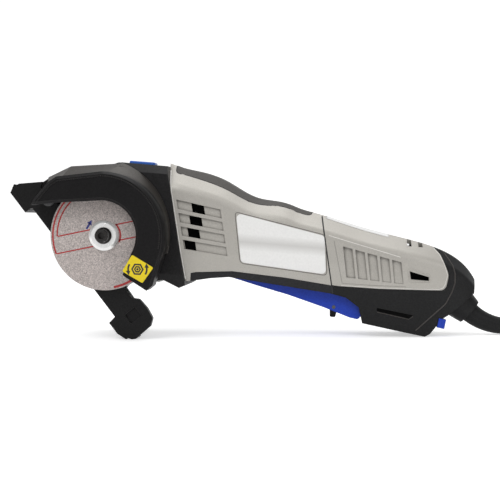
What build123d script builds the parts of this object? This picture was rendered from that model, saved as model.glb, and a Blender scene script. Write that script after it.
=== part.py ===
"""Compact corded circular saw with an abrasive disc, standing on its foot's heel and its tail.

Every piece is drawn in the saw's own frame: the spindle runs along Y with the disc towards -Y, the
motor axis runs back along +X, and the two cross at the origin. save() then stands the piece on the
floor, Z = 0, with the motor axis falling towards the rear.
"""

import math
import os

from build123d import *

# Stance, in degrees and millimetres
LEAN = 4.906
SPINDLE_HEIGHT = 73.675
FRAME_MIDDLE = (97.776, -5.5)

# Disc stack along the spindle, from the gear case outwards
DISC_R = 38.5
DISC_THICK = 1.6
DISC_BORE_R = 5.55
DISC_BACK_Y = -43.6
FLANGE_R = 10.6
FLANGE_THICK = 3.0
BOLT_HEAD_R = 6.4
BOLT_HEAD_LONG = 7.3
BOLT_R = 3.0
BOLT_GAP = 0.2
BOLT_CHAMFER = 0.8
BOLT_COLLAR_R = 7.3
BOLT_COLLAR_LONG = 1.2
BOLT_COLLAR_TAPER = 0.6
BOLT_END_GAP = 1.0
SPINDLE_R = 5.0
SPINDLE_SHOULDER_R = 6.2
SPINDLE_STEP_Y = -6.0
FLANGE_RIM = 1.6
FLANGE_TAPER = 1.8

# Bevel pair: tooth counts, module and face width
PINION_TEETH = 11
GEAR_TEETH = 20
GEAR_MODULE = 1.5
TOOTH_FACE = 5.5
TOOTH_RISE = 1.15
TOOTH_ROOT = 1.6
TOOTH_SHARE = 0.42
TOOTH_SINK = 0.3
PRESSURE_ANGLE = 20.0

# Motor, stations along its axis
SHAFT_R = 4.0
FRONT_BEARING_X = 24.0
FRONT_BEARING_R = 11.0
BEARING_LONG = 7.0
FAN_X = 42.0
FAN_LONG = 9.0
FAN_R = 18.5
FAN_HUB_R = 7.0
FAN_DISC = 2.0
FAN_RIM = 4.0
FAN_BLADE_FROM = 8.0
FAN_BLADE_THICK = 1.4
STACK_X = 66.0
STACK_LONG = 38.0
STATOR_R = 20.5
STATOR_BORE_R = 12.2
STATOR_SLOT = (5.2, 20.0)
STATOR_SLOT_AT = 14.2
FIELD_COIL = (4.2, 18.0)
FIELD_COIL_AT = 14.5
FIELD_COIL_ROUND = 1.8
ARMATURE_R = 11.7
CORE_SLOT = (3.4, 1.8)
CORE_SLOT_IN = 2.2
CORE_MOUTH = (2.0, 0.9)
WINDING_INSET = 0.7
WINDING_BEVEL = 1.5
COMMUTATOR_X = 117.0
COMMUTATOR_LONG = 12.0
COMMUTATOR_R = 8.6
COMMUTATOR_GROOVE = (1.6, 0.5)
REAR_BEARING_X = 134.0
REAR_BEARING_R = 9.5
REAR_BEARING_LONG = 6.0
SHAFT_END_X = 142.0
MOTOR_BORE_X = 10.0
SHAFT_HOLE = (126.0, 24.0, 6.0)

# Casing: wall, grip layer, and the two slanted joints, each as its top and bottom point
WALL = 3.2
GRIP_LAYER = 1.6
FRONT_JOINT = ((38.0, 52.0), (59.2, -39.0))
MIDDLE_JOINT = ((150.2, 27.0), (163.3, -31.5))
FAR_BELOW = -90.0
FAR_ABOVE = 90.0
FAR_AHEAD = -120.0
HALF_SPAN = 45.0

PLATE_THICK = 0.6
POCKET_WALL = 1.8
MOTOR_BULKHEADS = ((64.0, 70.0), (98.0, 104.0), (131.5, 141.5))
MOTOR_SEAM = [(60.5, -22.2), (64.0, -21.3), (90.0, -18.5), (128.0, -20.0), (166.0, -23.2)]
TOP_GRIP = [(43.0, -19.5), (75.0, -19.0), (143.0, -15.0), (143.0, 15.0), (75.0, 19.0), (43.0, 19.5)]
TOP_GRIP_ROUND = 4.0
LABEL = [(89.7, 23.2), (153.6, 11.8), (156.8, -15.4), (96.0, -11.7)]
LABEL_ROUND = 3.0
LOUVRE_PANEL = ((45.8, 32.0), (77.8, 27.2), (86.0, -7.9), (54.8, -5.4))
LOUVRE_HOLES = ((0.33, 0.62), (0.235, 0.52), (0.145, 0.42), (0.02, 0.28))
LOUVRE_BAR = 0.3
LOUVRE_FLOOR = 27.6

# Rear of the casing
END_JOINT = ((242.0, 14.0), (246.4, -42.0))
BARE_SIDE = [(100.0, 80.0), (100.0, -18.0), (166.0, -22.9), (195.0, -22.5), (231.0, -20.6),
             (241.5, -20.0), (243.2, -9.0), (236.5, 5.0), (229.0, 12.0), (222.0, 80.0)]
BARE_SIDE_ROUND = (0.0, 0.0, 20.0, 20.0, 20.0, 4.5, 10.0, 10.0, 6.0, 0.0)
TAIL_SLOT = [(194.6, -36.3), (220.2, -39.4), (217.4, -41.9), (194.8, -38.6)]
TAIL_SLOT_FLOOR = 21.0
RIB_PANEL = ((167.2, 5.4), (211.0, -2.9), (213.6, -17.7), (171.3, -16.2))
RIB_COUNT = 5
RIB_FLOOR = 24.2
RIB_SLOT_SHARE = 0.76
WEDGE_SLOT = [(215.2, -8.3), (229.0, -11.4), (229.2, -14.1), (216.5, -14.0)]
WEDGE_FLOOR = 10.0
TOP_VENTS = (210.6, 218.6)
TOP_VENT = [(0.0, 30.0), (3.0, 30.0), (5.0, 9.0), (2.0, 9.0)]
TOP_VENT_FLOOR = 3.0
REAR_RIBS = ((169.5, 172.0), (200.0, 202.5))
PLUNGER_X = 178.0
PLUNGER_R = 2.2
PLUNGER_FOOT = -31.6
PLUNGER_GAP = 0.4
PLUNGER_HOLE = 20.0
PLUNGER_LEFT_OVER = 5.2
KEY = (238.5, -43.5)
KEY_Y = -13.6
KEY_ALONG = (0.991, -0.132)
KEY_LONG = 46.0
KEY_BORE_R = 3.3
KEY_BORE_AHEAD = 20.0
KEY_BORE_SPARE = 2.0
CORD_EXIT = (261.8, -35.0)
CORD_ALONG = (0.8, -0.6)
COLLAR_LONG = 11.0
COLLAR_R = (12.0, 9.8)
SLEEVE_R = 7.3

# Gear case, front face to far face
CASE_FRONT_Y = -30.5
CASE_FAR_Y = 29.4
NOSE_R = 21.0
NOSE_FAR_Y = 22.0

# Guard
GUARD_FRONT_Y = -58.0
GUARD_JOIN_Y = -42.5
GUARD_BACK_Y = CASE_FRONT_Y
GUARD_R = 44.6
GUARD_WALL = 2.5
GUARD_MOUTH_R = 24.5
RIM_TOP = 94.0
RIM_MIDDLE = 40.0
RIM_LOW = -12.0
MOUTH_TOP = 95.0
MOUTH_LOW = -25.0
MOUTH_CORNER = (-32.0, 20.6)

# Foot: slant of its sole, its hinge, and its near and far sides
FOOT_SLANT = -47.9
HINGE = (-43.0, 22.0)
HINGE_PIN_R = 3.0
HINGE_EYE_R = 5.6
SOLE_N = -36.2
NEAR_BAR_Y = (-39.8, -36.4)
FAR_BAR_Y = (30.0, 33.4)
HEEL_CHEEK_Y = (-39.8, -34.6)

# Depth clamp on the far side
CLAMP = (39.8, 0.3)
CLAMP_BOLT_R = 3.0
CLAMP_SLOT_R = 3.3
DEPTH_SWING = (-3.0, 19.5)

# Paddle switch
PADDLE_PIVOT = (106.0, -21.2)
PADDLE_PIN_R = 1.2
PADDLE_PIN_LONG = 6.2
PADDLE_PIN_IN = 3.0
EAR_SPACE_IN = 3.4
EAR_BLANK = 40.0
EAR_SPACE = [(101.5, -30.0), (101.5, -17.6), (110.5, -17.6), (110.5, -30.0)]
PADDLE_HALF = 17.4
POCKET_HALF = 18.2
LOCK_PIN = (164.0, -38.6)
LOCK_PIN_R = 1.3

# Cord, in the standing frame
CORD_R = 3.5
CORD_SIDES = 8
SLEEVE_BEND = 40.0
SLEEVE_LAST_FALL = 2.5
SLEEVE_WAIST_R = 5.8
SLEEVE_RUN = 24.0
SLEEVE_TIP_R = 4.6
CORD_LEG = 17.3
BEND_SHARE = 0.45
COIL_MIDDLE = (394.6, 14.2)
COIL_START = -135.0
COIL_OUT_R = 53.0
COIL_PITCH = 7.75
COIL_RISE = 7.7
COIL_TURNS = 6.25
PLUG_LEAD = 30.0
TIE_THICK = 1.0
TIE_WIDE = 9.0
TIE_ROUND = 3.2
TIE_ROOM = (1.0, 0.2)
COIL_LIFT = 0.1
COIL_SAMPLES = 400
COIL_APART = 60.0
PLUG_NECK_R = 5.5
PLUG_NECK = 9.0
PLUG_SIZE = (24.0, 21.0, 27.0)
PLUG_ROUND = 5.0
PLUG_BEVEL = 2.0
PLUG_FLARE = 2.0
PLUG_NECK_SINK = 1.0
BLADE_GAP = 12.7
BLADE_SIZE = (1.5, 6.3, 17.0)

# Running gap of a shaft in its bearing or a pin in its eye
RUN_GAP = 0.05
# Free gap between pieces that move past each other
FREE_GAP = 0.3

# Gear case outlines, seen from the disc's side, and its section across
CASE_SIDE = [(64.0, 52.4), (4.0, 53.0), (4.0, -21.4), (14.0, -22.5), (37.0, -29.6), (41.5, -28.8),
             (53.0, -33.6), (62.0, -28.4)]
CASE_NOSE = [(8.0, 52.8), (2.0, 52.8), (-10.0, 47.0), (-19.0, 33.0), (-21.0, 4.0), (8.0, 4.0)]
CASE_NOSE_ROUND = (0.0, 4.0, 6.0, 6.0, 0.0, 0.0)
CASE_SECTION = [(CASE_FRONT_Y, -24.0), (-25.0, -46.0), (25.0, -46.0), (CASE_FAR_Y, -24.0),
                (CASE_FAR_Y, 46.8), (22.0, 54.6), (-23.0, 54.6), (CASE_FRONT_Y, 46.8)]
CASE_REACH = (-60.0, 80.0)
HINGE_ARM = [(10.0, 49.0), (-28.0, 43.0), (-44.0, 31.0), (-50.0, 22.0), (-44.0, 15.5), (-34.0, 15.5),
             (0.0, 18.0)]
HINGE_ARM_ROUND = (0.0, 4.0, 5.0, 5.0, 4.0, 4.0, 0.0)
ARM_THICK = 7.4
CHAMBER_R = 17.1
CHAMBER_FAR_Y = 7.0
PINION_SPACE_R = 10.4
NEEDLE_R = 7.0
NEEDLE_LONG = 10.0
SPINDLE_TAIL_R = 4.0
SPINDLE_TAIL_Y = 16.5
PLATE_FRONT_Y = -33.5
PLATE_R = 22.0
PLATE_BORE_R = 7.5
SPIGOT_Y = -23.5
BALL_R = 13.0
BALL_Y = -32.0
BALL_LONG = 8.0
BALL_SEAT = 0.2
BEARING_LIP = 2.5
BEARING_LIP_LONG = 3.0
FAN_SPACE_LONG = 40.0
INNER_FLANGE_Y = -40.6
PILOT_R = 5.5
PILOT_SHORT = 0.4
GEAR_HUB = 9.0
GEAR_HUB_R = 9.0
PINION_BORE_R = 3.5
PINION_HUB = 8.6
PINION_HUB_R = 7.5
PINION_TIP_X = 9.0
BOLT_DEEP_Y = -24.0
BOLT_SOCKET_R = 2.95
BOLT_SOCKET_DEEP = 4.2
BUTTON_X = 15.5
BUTTON_SIZE = (19.0, 13.0)
BUTTON_FLOOR = 45.5
BUTTON_TOP = 55.4
BUTTON_TRAVEL = 3.0
BUTTON_SPARE = 0.6
BUTTON_GAP = 0.5
BUTTON_ROUND = 1.6
BUTTON_HOLE_ROUND = 2.0
BUTTON_EDGE = 1.0
STEM_R = 2.5
STEM_FOOT = 24.0
STEM_DROP = 2.0
STEM_ROOT = 3.0
REAR_SHAFT_R = 3.5
CORE_SLOTS = 12
WINDING_LONG = 8.0
COMMUTATOR_BARS = 24
FAN_BLADES = 12
COIL_OVERHANG = 6.0
BRUSH_SIZE = (6.0, 8.0)
BRUSH_LONG = 9.0
BRUSH_GAP = 0.3
HOLDER_Y = 10.5
HOLDER_LONG = 11.0
HOLDER_FOOT = 4.0
HOLDER_WALL = 1.5

GUARD_TOP = [(-51.0, 17.5), (-48.7, 22.5), (-39.9, 34.4), (-34.5, 38.6)]
GUARD_TAIL = [(37.5, -36.5), (34.5, -42.0), (15.9, -30.0)]
COVER_INSIDE_TOP = [(-46.0, 21.6), (-38.0, 32.4), (-33.4, 36.2)]
COVER_INSIDE_LOW = [(35.2, -35.0), (32.0, -47.0), (9.0, -32.0), (0.0, -10.0), (-30.0, -5.0)]
COVER_INSIDE_END = (-47.0, 15.0)
GUARD_COVER_EDGE = 64.0
GUARD_BEVEL = 1.8
SHELL_PLATE = 3.0
SHELL_CHORD = (20.0, -16.0)
SHELL_FRONT_END = (-44.0, 17.5)
SHELL_INNER_END = (-41.5, 17.5)
SHELL_LAP = 0.5
SHELL_BORE_GAP = 0.1
SHELL_BACK = [(-45.0, 17.5), (-49.6, 28.0), (-46.8, 38.2), (-31.0, 47.2), (7.0, 52.2)]
SHELL_BACK_RIGHT = (33.0, 33.8)
SHELL_INNER = [(-42.5, 17.5), (-47.0, 27.6), (-43.8, 34.6), (-30.0, 43.6), (6.0, 50.0)]
SHELL_INNER_RIGHT = (31.2, 32.0)
SHELL_GAP = [(-70.0, 30.0), (-34.0, 30.0), (-28.0, 12.0), (38.0, -4.0), (60.0, -4.0), (60.0, -60.0),
             (-70.0, -60.0)]
STICKER = [(23.2, -11.2), (38.8, -18.9), (32.0, -30.2), (17.2, -23.2)]
STICKER_THICK = 0.3
STICKER_ROUND = 1.0

FOOT_WALL = [(-60.0, -33.4), (-50.4, SOLE_N), (-47.7, -30.2), (49.4, -30.2), (60.0, -30.2), (60.0, -12.4),
             (37.0, -12.4), (26.0, -24.5), (-22.0, -24.5), (-38.0, -13.5), (-50.5, -16.0)]
FOOT_EDGE = [(-47.7, -30.2), (49.4, -30.2), (49.4, -25.7), (-44.0, -25.7)]
TOE_CHEEK = [(-70.4, 25.4), (-68.5, 29.7), (-65.4, 31.8), (-48.9, 34.4), (-49.6, 29.4), (-45.7, 27.5),
             (-44.0, 18.0), (-60.4, 13.4)]
HEEL_CHEEK = [(49.4, -30.2), (50.3, SOLE_N), (60.0, SOLE_N), (69.4, -30.4), (70.8, -27.9), (70.0, -14.0),
              (66.5, -9.3), (58.5, -8.1), (50.0, -8.8), (46.5, -12.4), (44.0, -20.0)]
HEEL_ROUND = (0.0, 0.0, 2.0, 1.0, 1.0, 2.5, 2.5, 2.0, 2.0, 1.0, 0.0)
HEEL_RECESS = [(52.5, -24.0), (60.5, -24.0), (60.5, -14.5), (52.5, -14.5)]
FAR_WALL = [(-60.0, -33.4), (-50.4, SOLE_N), (-47.7, -30.2), (51.0, -30.2), (51.0, SOLE_N), (60.0, SOLE_N),
            (67.0, -33.6), (66.7, -30.6), (60.1, -26.0), (26.0, -24.5), (-22.0, -24.5), (-38.0, -13.5),
            (-50.5, -16.0)]
TOE_PLATE = [(-66.2, SOLE_N), (-48.5, SOLE_N), (-48.5, -33.2), (-64.5, -33.2), (-67.6, -28.6),
             (-69.4, -30.4)]
HEEL_LIP = [(50.3, SOLE_N), (60.0, SOLE_N), (69.4, -30.4), (70.8, -27.9), (68.4, -26.8), (59.0, -33.2),
            (50.3, -33.2)]
HEEL_LIP_Y = -20.0
HEEL_RECESS_DEEP = 2.0
HEEL_RECESS_ROUND = 0.8
HEEL_PLATE = [(50.3, SOLE_N), (60.0, SOLE_N), (67.0, -33.6), (66.0, -31.0), (59.5, -33.2), (50.3, -33.2)]
PIN_HEAD_Y = -40.1
PIN_HEAD_LONG = 1.7
PIN_HEAD_R = 4.6
PIN_TAIL = 1.6
CLAMP_FACE_Y = 33.1
CLAMP_BOSS_R = 6.5
CLAMP_BOLT_DEEP = 11.0
CLAMP_NUT_R = 5.0
CLAMP_NUT_THICK = 2.5
SLOT_SPARE = 1.0
BOSS_ROOT = 1.0
QUADRANT_Y = (33.4, 35.9)
QUADRANT_HALF = 7.5
QUADRANT_FOOT = [(28.0, -20.0), (30.0, -33.0), (17.0, -33.6), (10.0, -35.4), (5.5, -38.6), (0.5, -45.0),
                 (-7.5, -36.4), (-2.0, -28.0)]
LEVER_Y = (36.2, 44.5)
LEVER_HUB_R = 8.0
LEVER_TIP = (30.0, 18.0)
LEVER_TIP_R = 5.0
LEVER_THICK = 5.0

PADDLE_SIDE = [(90.5, -23.8), (109.0, -28.0), (131.0, -32.6), (157.0, -39.4), (176.0, -45.2),
               (181.8, -46.0), (184.2, -43.0), (183.6, -38.6), (179.5, -32.6), (165.0, -26.0),
               (150.0, -24.6), (121.0, -23.3), (92.0, -23.3)]
PADDLE_ROUND = (0.0, 20.0, 20.0, 20.0, 6.0, 2.0, 2.0, 2.0, 3.0, 5.0, 20.0, 20.0, 0.0)
PADDLE_WALL = 2.2
PADDLE_HOLLOW = [(98.0, -20.0), (98.0, -23.8), (109.0, -25.6), (131.0, -29.4), (157.0, -35.6),
                 (176.0, -42.0), (181.4, -43.2), (181.4, -20.0)]
PADDLE_POST = -14.0
PADDLE_POST_SIZE = (3.0, 9.0)
PADDLE_EAR_ROUND = 2.2
PADDLE_EAR = [(102.4, -26.0), (102.4, -18.4), (109.6, -18.4), (109.6, -26.0)]
LOCK_SLOT_X = 164.0
LOCK_SLOT_LONG = 13.0
LOCK_SLOT_Z = (-60.0, -30.0)
LOCK_GAP = 0.5
LOCK_ROUND = 1.2
LOCK_HALF = 3.4
LOCK_SIDE = [(160.6, -35.6), (161.6, -47.0), (165.6, -47.0), (167.4, -36.4), (165.0, -33.4), (162.0, -33.0)]
SWITCH_SIDE = [(172.0, -20.0), (200.0, -20.0), (200.0, -3.0), (172.0, -3.0)]
SWITCH_HALF = 8.0
PLUNGER_BORE = 10.0
KEY_R = 2.85
KEY_TAB = (6.4, 9.0, 5.0)
KEY_TAB_GAP = 0.4
KEY_TAB_ROUND = 1.5

STAND_SHIFT = Pos(-FRAME_MIDDLE[0], -FRAME_MIDDLE[1], 0)
STANCE = STAND_SHIFT * Pos(0, 0, SPINDLE_HEIGHT) * Rot(0, LEAN, 0)
os.makedirs("parts", exist_ok=True)


def save(piece, name, location=STANCE):
    """Stand a finished piece on the floor, label it and write it."""
    placed = location * piece
    placed.label = name
    export_step(placed, f"parts/{name}.step")


def side(y):
    """Drawing plane seen from the disc's side, at depth y."""
    return Plane.XZ.offset(-y)


def foot_side(y):
    """Drawing plane in the foot's own directions: along the sole, and square to it."""
    slant = math.radians(FOOT_SLANT)
    return Plane((0, y, 0), x_dir=(math.cos(slant), 0, math.sin(slant)), z_dir=(0, -1, 0))


def outline(points, plane, radius=0.0):
    """A closed face through points, with its corners rounded by radius."""
    with BuildSketch(plane) as drawn:
        with BuildLine():
            FilletPolyline(*points, radius=radius, close=True)
        make_face()
    return drawn.sketch


def turned(points, axis, plane=Plane.XZ):
    """A solid of revolution of the closed outline points."""
    with BuildPart() as solid:
        with BuildSketch(plane):
            with BuildLine():
                Polyline(*points, close=True)
            make_face()
        revolve(axis=axis)
    return solid.part


def ring(x, long, outer, inner):
    """A ring round the motor axis."""
    return turned([(x, inner), (x + long, inner), (x + long, outer), (x, outer)], Axis.X)


def collar(y, long, outer, inner):
    """A ring round the spindle axis, from y towards the far side."""
    return turned([(inner, y), (outer, y), (outer, y + long), (inner, y + long)], Axis.Y, Plane.XY)


def ahead_of(joint):
    """Everything in front of a slanted joint, as a face seen from the side."""
    top, bottom = joint
    slope = (bottom[0] - top[0]) / (bottom[1] - top[1])
    upper = (top[0] + slope * (FAR_ABOVE - top[1]), FAR_ABOVE)
    lower = (top[0] + slope * (FAR_BELOW - top[1]), FAR_BELOW)
    return outline([upper, lower, (FAR_AHEAD, FAR_BELOW), (FAR_AHEAD, FAR_ABOVE)], side(0))


KEY_PLANE = Plane((KEY[0], KEY_Y, KEY[1]), x_dir=(0, 1, 0), z_dir=(-KEY_ALONG[0], 0, -KEY_ALONG[1]))
# Casing form shared by the motor housing, the rear shells and their grips:
# station along the motor axis, top, half width, half width of the crown, drop of the shoulder
CASING_STATIONS = [
    (16.0, 55.4, 28.8, 14.0, 14.0),
    (45.0, 53.4, 29.2, 14.0, 15.0),
    (62.0, 50.7, 29.2, 13.0, 15.0),
    (75.0, 47.4, 28.9, 12.0, 14.5),
    (89.0, 40.7, 28.5, 11.5, 13.0),
    (97.0, 37.1, 28.3, 11.0, 12.5),
    (110.0, 34.4, 28.1, 11.0, 12.0),
    (132.0, 30.5, 27.6, 11.0, 11.5),
    (147.0, 27.2, 27.3, 11.0, 11.0),
    (162.0, 23.9, 27.0, 11.0, 11.0),
    (196.0, 16.8, 26.0, 10.5, 10.5),
    (226.0, 11.4, 24.4, 9.5, 10.0),
    (240.0, 7.2, 21.0, 8.5, 9.5),
    (254.0, -0.8, 15.5, 6.0, 8.0),
    (263.0, -11.0, 9.5, 4.0, 5.0),
]
SIDE_TURN = -8.0
SIDE_LEAST = 12.0
KEEL_DEPTH = -62.0
KEEL_SHARE = 0.72
WAIST_ROUND = 0.8
SHOULDER_ROUND = 0.3
CROWN_ROUND = 0.4
UNDERSIDE = [
    (10.0, -30.5),
    (54.0, -29.0),
    (62.0, -27.7),
    (75.0, -24.8),
    (88.0, -22.9),
    (160.6, -28.7),
    (172.0, -30.8),
    (181.6, -37.0),
    (185.0, -48.2),
    (230.0, -54.2),
    (233.5, -52.0),
    (241.0, -40.8),
    (246.0, -37.2),
    (266.0, -18.0),
]


def casing_form(inset):
    """The casing's whole outer form, drawn in by inset on every side."""
    with BuildPart() as form:
        for x, top, half, crown, drop in CASING_STATIONS:
            keel = half * KEEL_SHARE - inset
            turn = min(SIDE_TURN, top - drop - SIDE_LEAST)
            rounds = [WAIST_ROUND * half, SHOULDER_ROUND * half, CROWN_ROUND * crown]
            with BuildSketch(Plane.YZ.offset(x)):
                with BuildLine():
                    upper = FilletPolyline(
                        (-keel, KEEL_DEPTH),
                        (inset - half, turn),
                        (inset - half, top - drop),
                        (0.5 * inset - crown, top - inset),
                        (crown - 0.5 * inset, top - inset),
                        (half - inset, top - drop),
                        (half - inset, turn),
                        (keel, KEEL_DEPTH),
                        radius=(*rounds, *reversed(rounds)),
                    )
                    Line(upper @ 1, upper @ 0)
                make_face()
        loft()
        raised = [(x, z + inset) for x, z in UNDERSIDE]
        below = raised + [(raised[-1][0], FAR_BELOW), (raised[0][0], FAR_BELOW)]
        extrude(outline(below, side(0)), amount=HALF_SPAN, both=True, mode=Mode.SUBTRACT)
    return form.part


# Paddle pocket in the underside, cut from every casing piece
POCKET = [
    (89.0, -60.0),
    (89.0, -22.4),
    (111.0, -22.4),
    (116.0, -20.6),
    (165.0, -21.6),
    (187.0, -28.4),
    (187.0, -45.0),
    (184.9, -60.0),
]

casing_outer = casing_form(0.0)
casing_plate = casing_form(PLATE_THICK)
casing_layer = casing_form(GRIP_LAYER)
casing_inner = casing_form(WALL)


def pocket(margin):
    """The paddle's pocket, enlarged by margin."""
    raised = [(x, z + margin) for x, z in POCKET]
    with BuildPart() as space:
        extrude(outline(raised, side(0)), amount=POCKET_HALF + margin, both=True)
    return space.part


def span(x_from, x_to):
    """A thick slice of space across the motor axis."""
    with BuildPart() as slice_of_space:
        with BuildSketch(Plane.YZ.offset(x_from)):
            Rectangle(3 * HALF_SPAN, 6 * HALF_SPAN)
        extrude(amount=x_to - x_from)
    return slice_of_space.part


def panel_cell(corners, along, down):
    """A four-cornered cell of a slanted panel; along and down are shares of its sides."""
    (ax, az), (bx, bz), (cx, cz), (dx, dz) = corners
    cell = []
    for s, t in ((along[0], down[0]), (along[1], down[0]), (along[1], down[1]), (along[0], down[1])):
        top_x, top_z = ax + s * (bx - ax), az + s * (bz - az)
        low_x, low_z = dx + s * (cx - dx), dz + s * (cz - dz)
        cell.append((top_x + t * (low_x - top_x), top_z + t * (low_z - top_z)))
    return cell


paddle_space = pocket(0.0)
paddle_wall = pocket(POCKET_WALL)

# Motor housing with its grips and label plate
with BuildPart() as motor_span:
    extrude(ahead_of(MIDDLE_JOINT), amount=HALF_SPAN, both=True)
    extrude(ahead_of(FRONT_JOINT), amount=HALF_SPAN, both=True, mode=Mode.SUBTRACT)

with BuildPart() as top_grip:
    add(casing_outer)
    with BuildSketch(Plane.XY):
        with BuildLine():
            FilletPolyline(*TOP_GRIP, radius=TOP_GRIP_ROUND, close=True)
        make_face()
    extrude(amount=2 * HALF_SPAN, mode=Mode.INTERSECT)
    add(casing_layer, mode=Mode.SUBTRACT)

with BuildPart() as lower_grip:
    add(casing_outer)
    seam_ends = [(MOTOR_SEAM[-1][0], FAR_BELOW), (MOTOR_SEAM[0][0], FAR_BELOW)]
    extrude(outline(MOTOR_SEAM + seam_ends, side(0)), amount=HALF_SPAN, both=True, mode=Mode.INTERSECT)
    add(motor_span.part, mode=Mode.INTERSECT)
    add(casing_layer, mode=Mode.SUBTRACT)
    add(paddle_space, mode=Mode.SUBTRACT)

with BuildPart() as label_plate:
    add(casing_outer)
    extrude(outline(LABEL, side(0), LABEL_ROUND), amount=HALF_SPAN, mode=Mode.INTERSECT)
    add(casing_plate, mode=Mode.SUBTRACT)

with BuildPart() as motor_void:
    add(casing_inner)
    for x_from, x_to in MOTOR_BULKHEADS:
        add(span(x_from, x_to), mode=Mode.SUBTRACT)
    add(paddle_wall, mode=Mode.SUBTRACT)
    add(ring(MOTOR_BORE_X, MOTOR_BULKHEADS[-1][0] - MOTOR_BORE_X, STATOR_R, 0.0))
    add(ring(REAR_BEARING_X, REAR_BEARING_LONG, REAR_BEARING_R, 0.0))
    add(ring(*SHAFT_HOLE, 0.0))


def near_cut(cell, depth):
    """A hole into the casing's near side, down to depth from the middle, and its twin opposite."""
    with BuildPart() as cut:
        extrude(outline(cell, side(-depth)), amount=HALF_SPAN - depth)
        mirror(about=Plane.XZ)
    return cut.part


louvre_cuts = []
for row, (start, end) in enumerate(LOUVRE_HOLES):
    down = ((row + LOUVRE_BAR) / len(LOUVRE_HOLES), (row + 1) / len(LOUVRE_HOLES))
    louvre_cuts.append(near_cut(panel_cell(LOUVRE_PANEL, (0.0, 1.0), down), LOUVRE_FLOOR))
    louvre_cuts.append(near_cut(panel_cell(LOUVRE_PANEL, (start, end), down), LOUVRE_FLOOR - 2 * WALL))

with BuildPart() as paddle_pins:
    for y in (PADDLE_HALF - PADDLE_PIN_IN, PADDLE_PIN_IN - PADDLE_HALF - PADDLE_PIN_LONG):
        with BuildSketch(side(y + PADDLE_PIN_LONG)):
            with Locations(PADDLE_PIVOT):
                Circle(PADDLE_PIN_R)
        extrude(amount=PADDLE_PIN_LONG)

with BuildPart() as ear_space:
    extrude(outline(EAR_SPACE, side(0)), amount=POCKET_HALF, both=True)
    with BuildSketch(Plane.XZ):
        with Locations(PADDLE_PIVOT):
            Rectangle(EAR_BLANK, EAR_BLANK)
    extrude(amount=PADDLE_HALF - EAR_SPACE_IN, both=True, mode=Mode.SUBTRACT)

with BuildPart() as motor_housing:
    add(casing_outer)
    add(motor_span.part, mode=Mode.INTERSECT)
    add([motor_void.part, paddle_space], mode=Mode.SUBTRACT)
    add([top_grip.part, lower_grip.part, label_plate.part], mode=Mode.SUBTRACT)
    add([*louvre_cuts, ear_space.part, paddle_pins.part], mode=Mode.SUBTRACT)

# Rear shells, tail grip and end cap
with BuildPart() as rear_span:
    extrude(ahead_of(END_JOINT), amount=HALF_SPAN, both=True)
    extrude(ahead_of(MIDDLE_JOINT), amount=HALF_SPAN, both=True, mode=Mode.SUBTRACT)

with BuildPart() as rear_casing:
    add(casing_outer)
    add(rear_span.part, mode=Mode.INTERSECT)

with BuildPart() as bare_side:
    extrude(outline(BARE_SIDE, side(0), BARE_SIDE_ROUND), amount=HALF_SPAN, both=True)

tail_slot = near_cut(TAIL_SLOT, TAIL_SLOT_FLOOR)
with BuildPart() as tail_grip:
    add(rear_casing.part)
    add([casing_layer, bare_side.part, paddle_space], mode=Mode.SUBTRACT)
    add(tail_slot, mode=Mode.SUBTRACT)

with BuildPart() as key_bore:
    with BuildSketch(KEY_PLANE.offset(-KEY_BORE_AHEAD)):
        Circle(KEY_BORE_R)
    extrude(amount=KEY_BORE_AHEAD + KEY_LONG + KEY_BORE_SPARE)
    with BuildSketch(KEY_PLANE.offset(KEY_TAB_GAP)):
        RectangleRounded(KEY_TAB[1] + 2 * KEY_TAB_GAP, KEY_TAB[0] + 2 * KEY_TAB_GAP, KEY_TAB_ROUND)
    extrude(amount=-KEY_BORE_AHEAD)

with BuildPart() as rear_void:
    add(casing_inner)
    for x_from, x_to in REAR_RIBS:
        add(span(x_from, x_to), mode=Mode.SUBTRACT)
    add(paddle_wall, mode=Mode.SUBTRACT)
    with BuildSketch(Plane.XY.offset(PLUNGER_FOOT)):
        with Locations((PLUNGER_X, 0)):
            Circle(PLUNGER_R + PLUNGER_GAP)
    extrude(amount=PLUNGER_HOLE)

rib_cuts = []
for column in range(RIB_COUNT):
    along = (column / RIB_COUNT, (column + RIB_SLOT_SHARE) / RIB_COUNT)
    rib_cuts.append(near_cut(panel_cell(RIB_PANEL, along, (0.0, 1.0)), RIB_FLOOR))
rib_cuts.append(near_cut(WEDGE_SLOT, WEDGE_FLOOR))
for x in TOP_VENTS:
    rib_cuts.append(near_cut([(x + along, z) for along, z in TOP_VENT], TOP_VENT_FLOOR))

with BuildPart() as rear_pair:
    add(rear_casing.part)
    add([tail_grip.part, tail_slot, rear_void.part, *rib_cuts], mode=Mode.SUBTRACT)
    add([paddle_space, key_bore.part], mode=Mode.SUBTRACT)

with BuildPart() as rear_shell_near:
    add(rear_pair.part)
    split(bisect_by=Plane.XZ, keep=Keep.TOP)

with BuildPart() as rear_shell_far:
    add(rear_pair.part)
    split(bisect_by=Plane.XZ, keep=Keep.BOTTOM)

with BuildPart() as tail_grip_bored:
    add(tail_grip.part)
    add(key_bore.part, mode=Mode.SUBTRACT)

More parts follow.
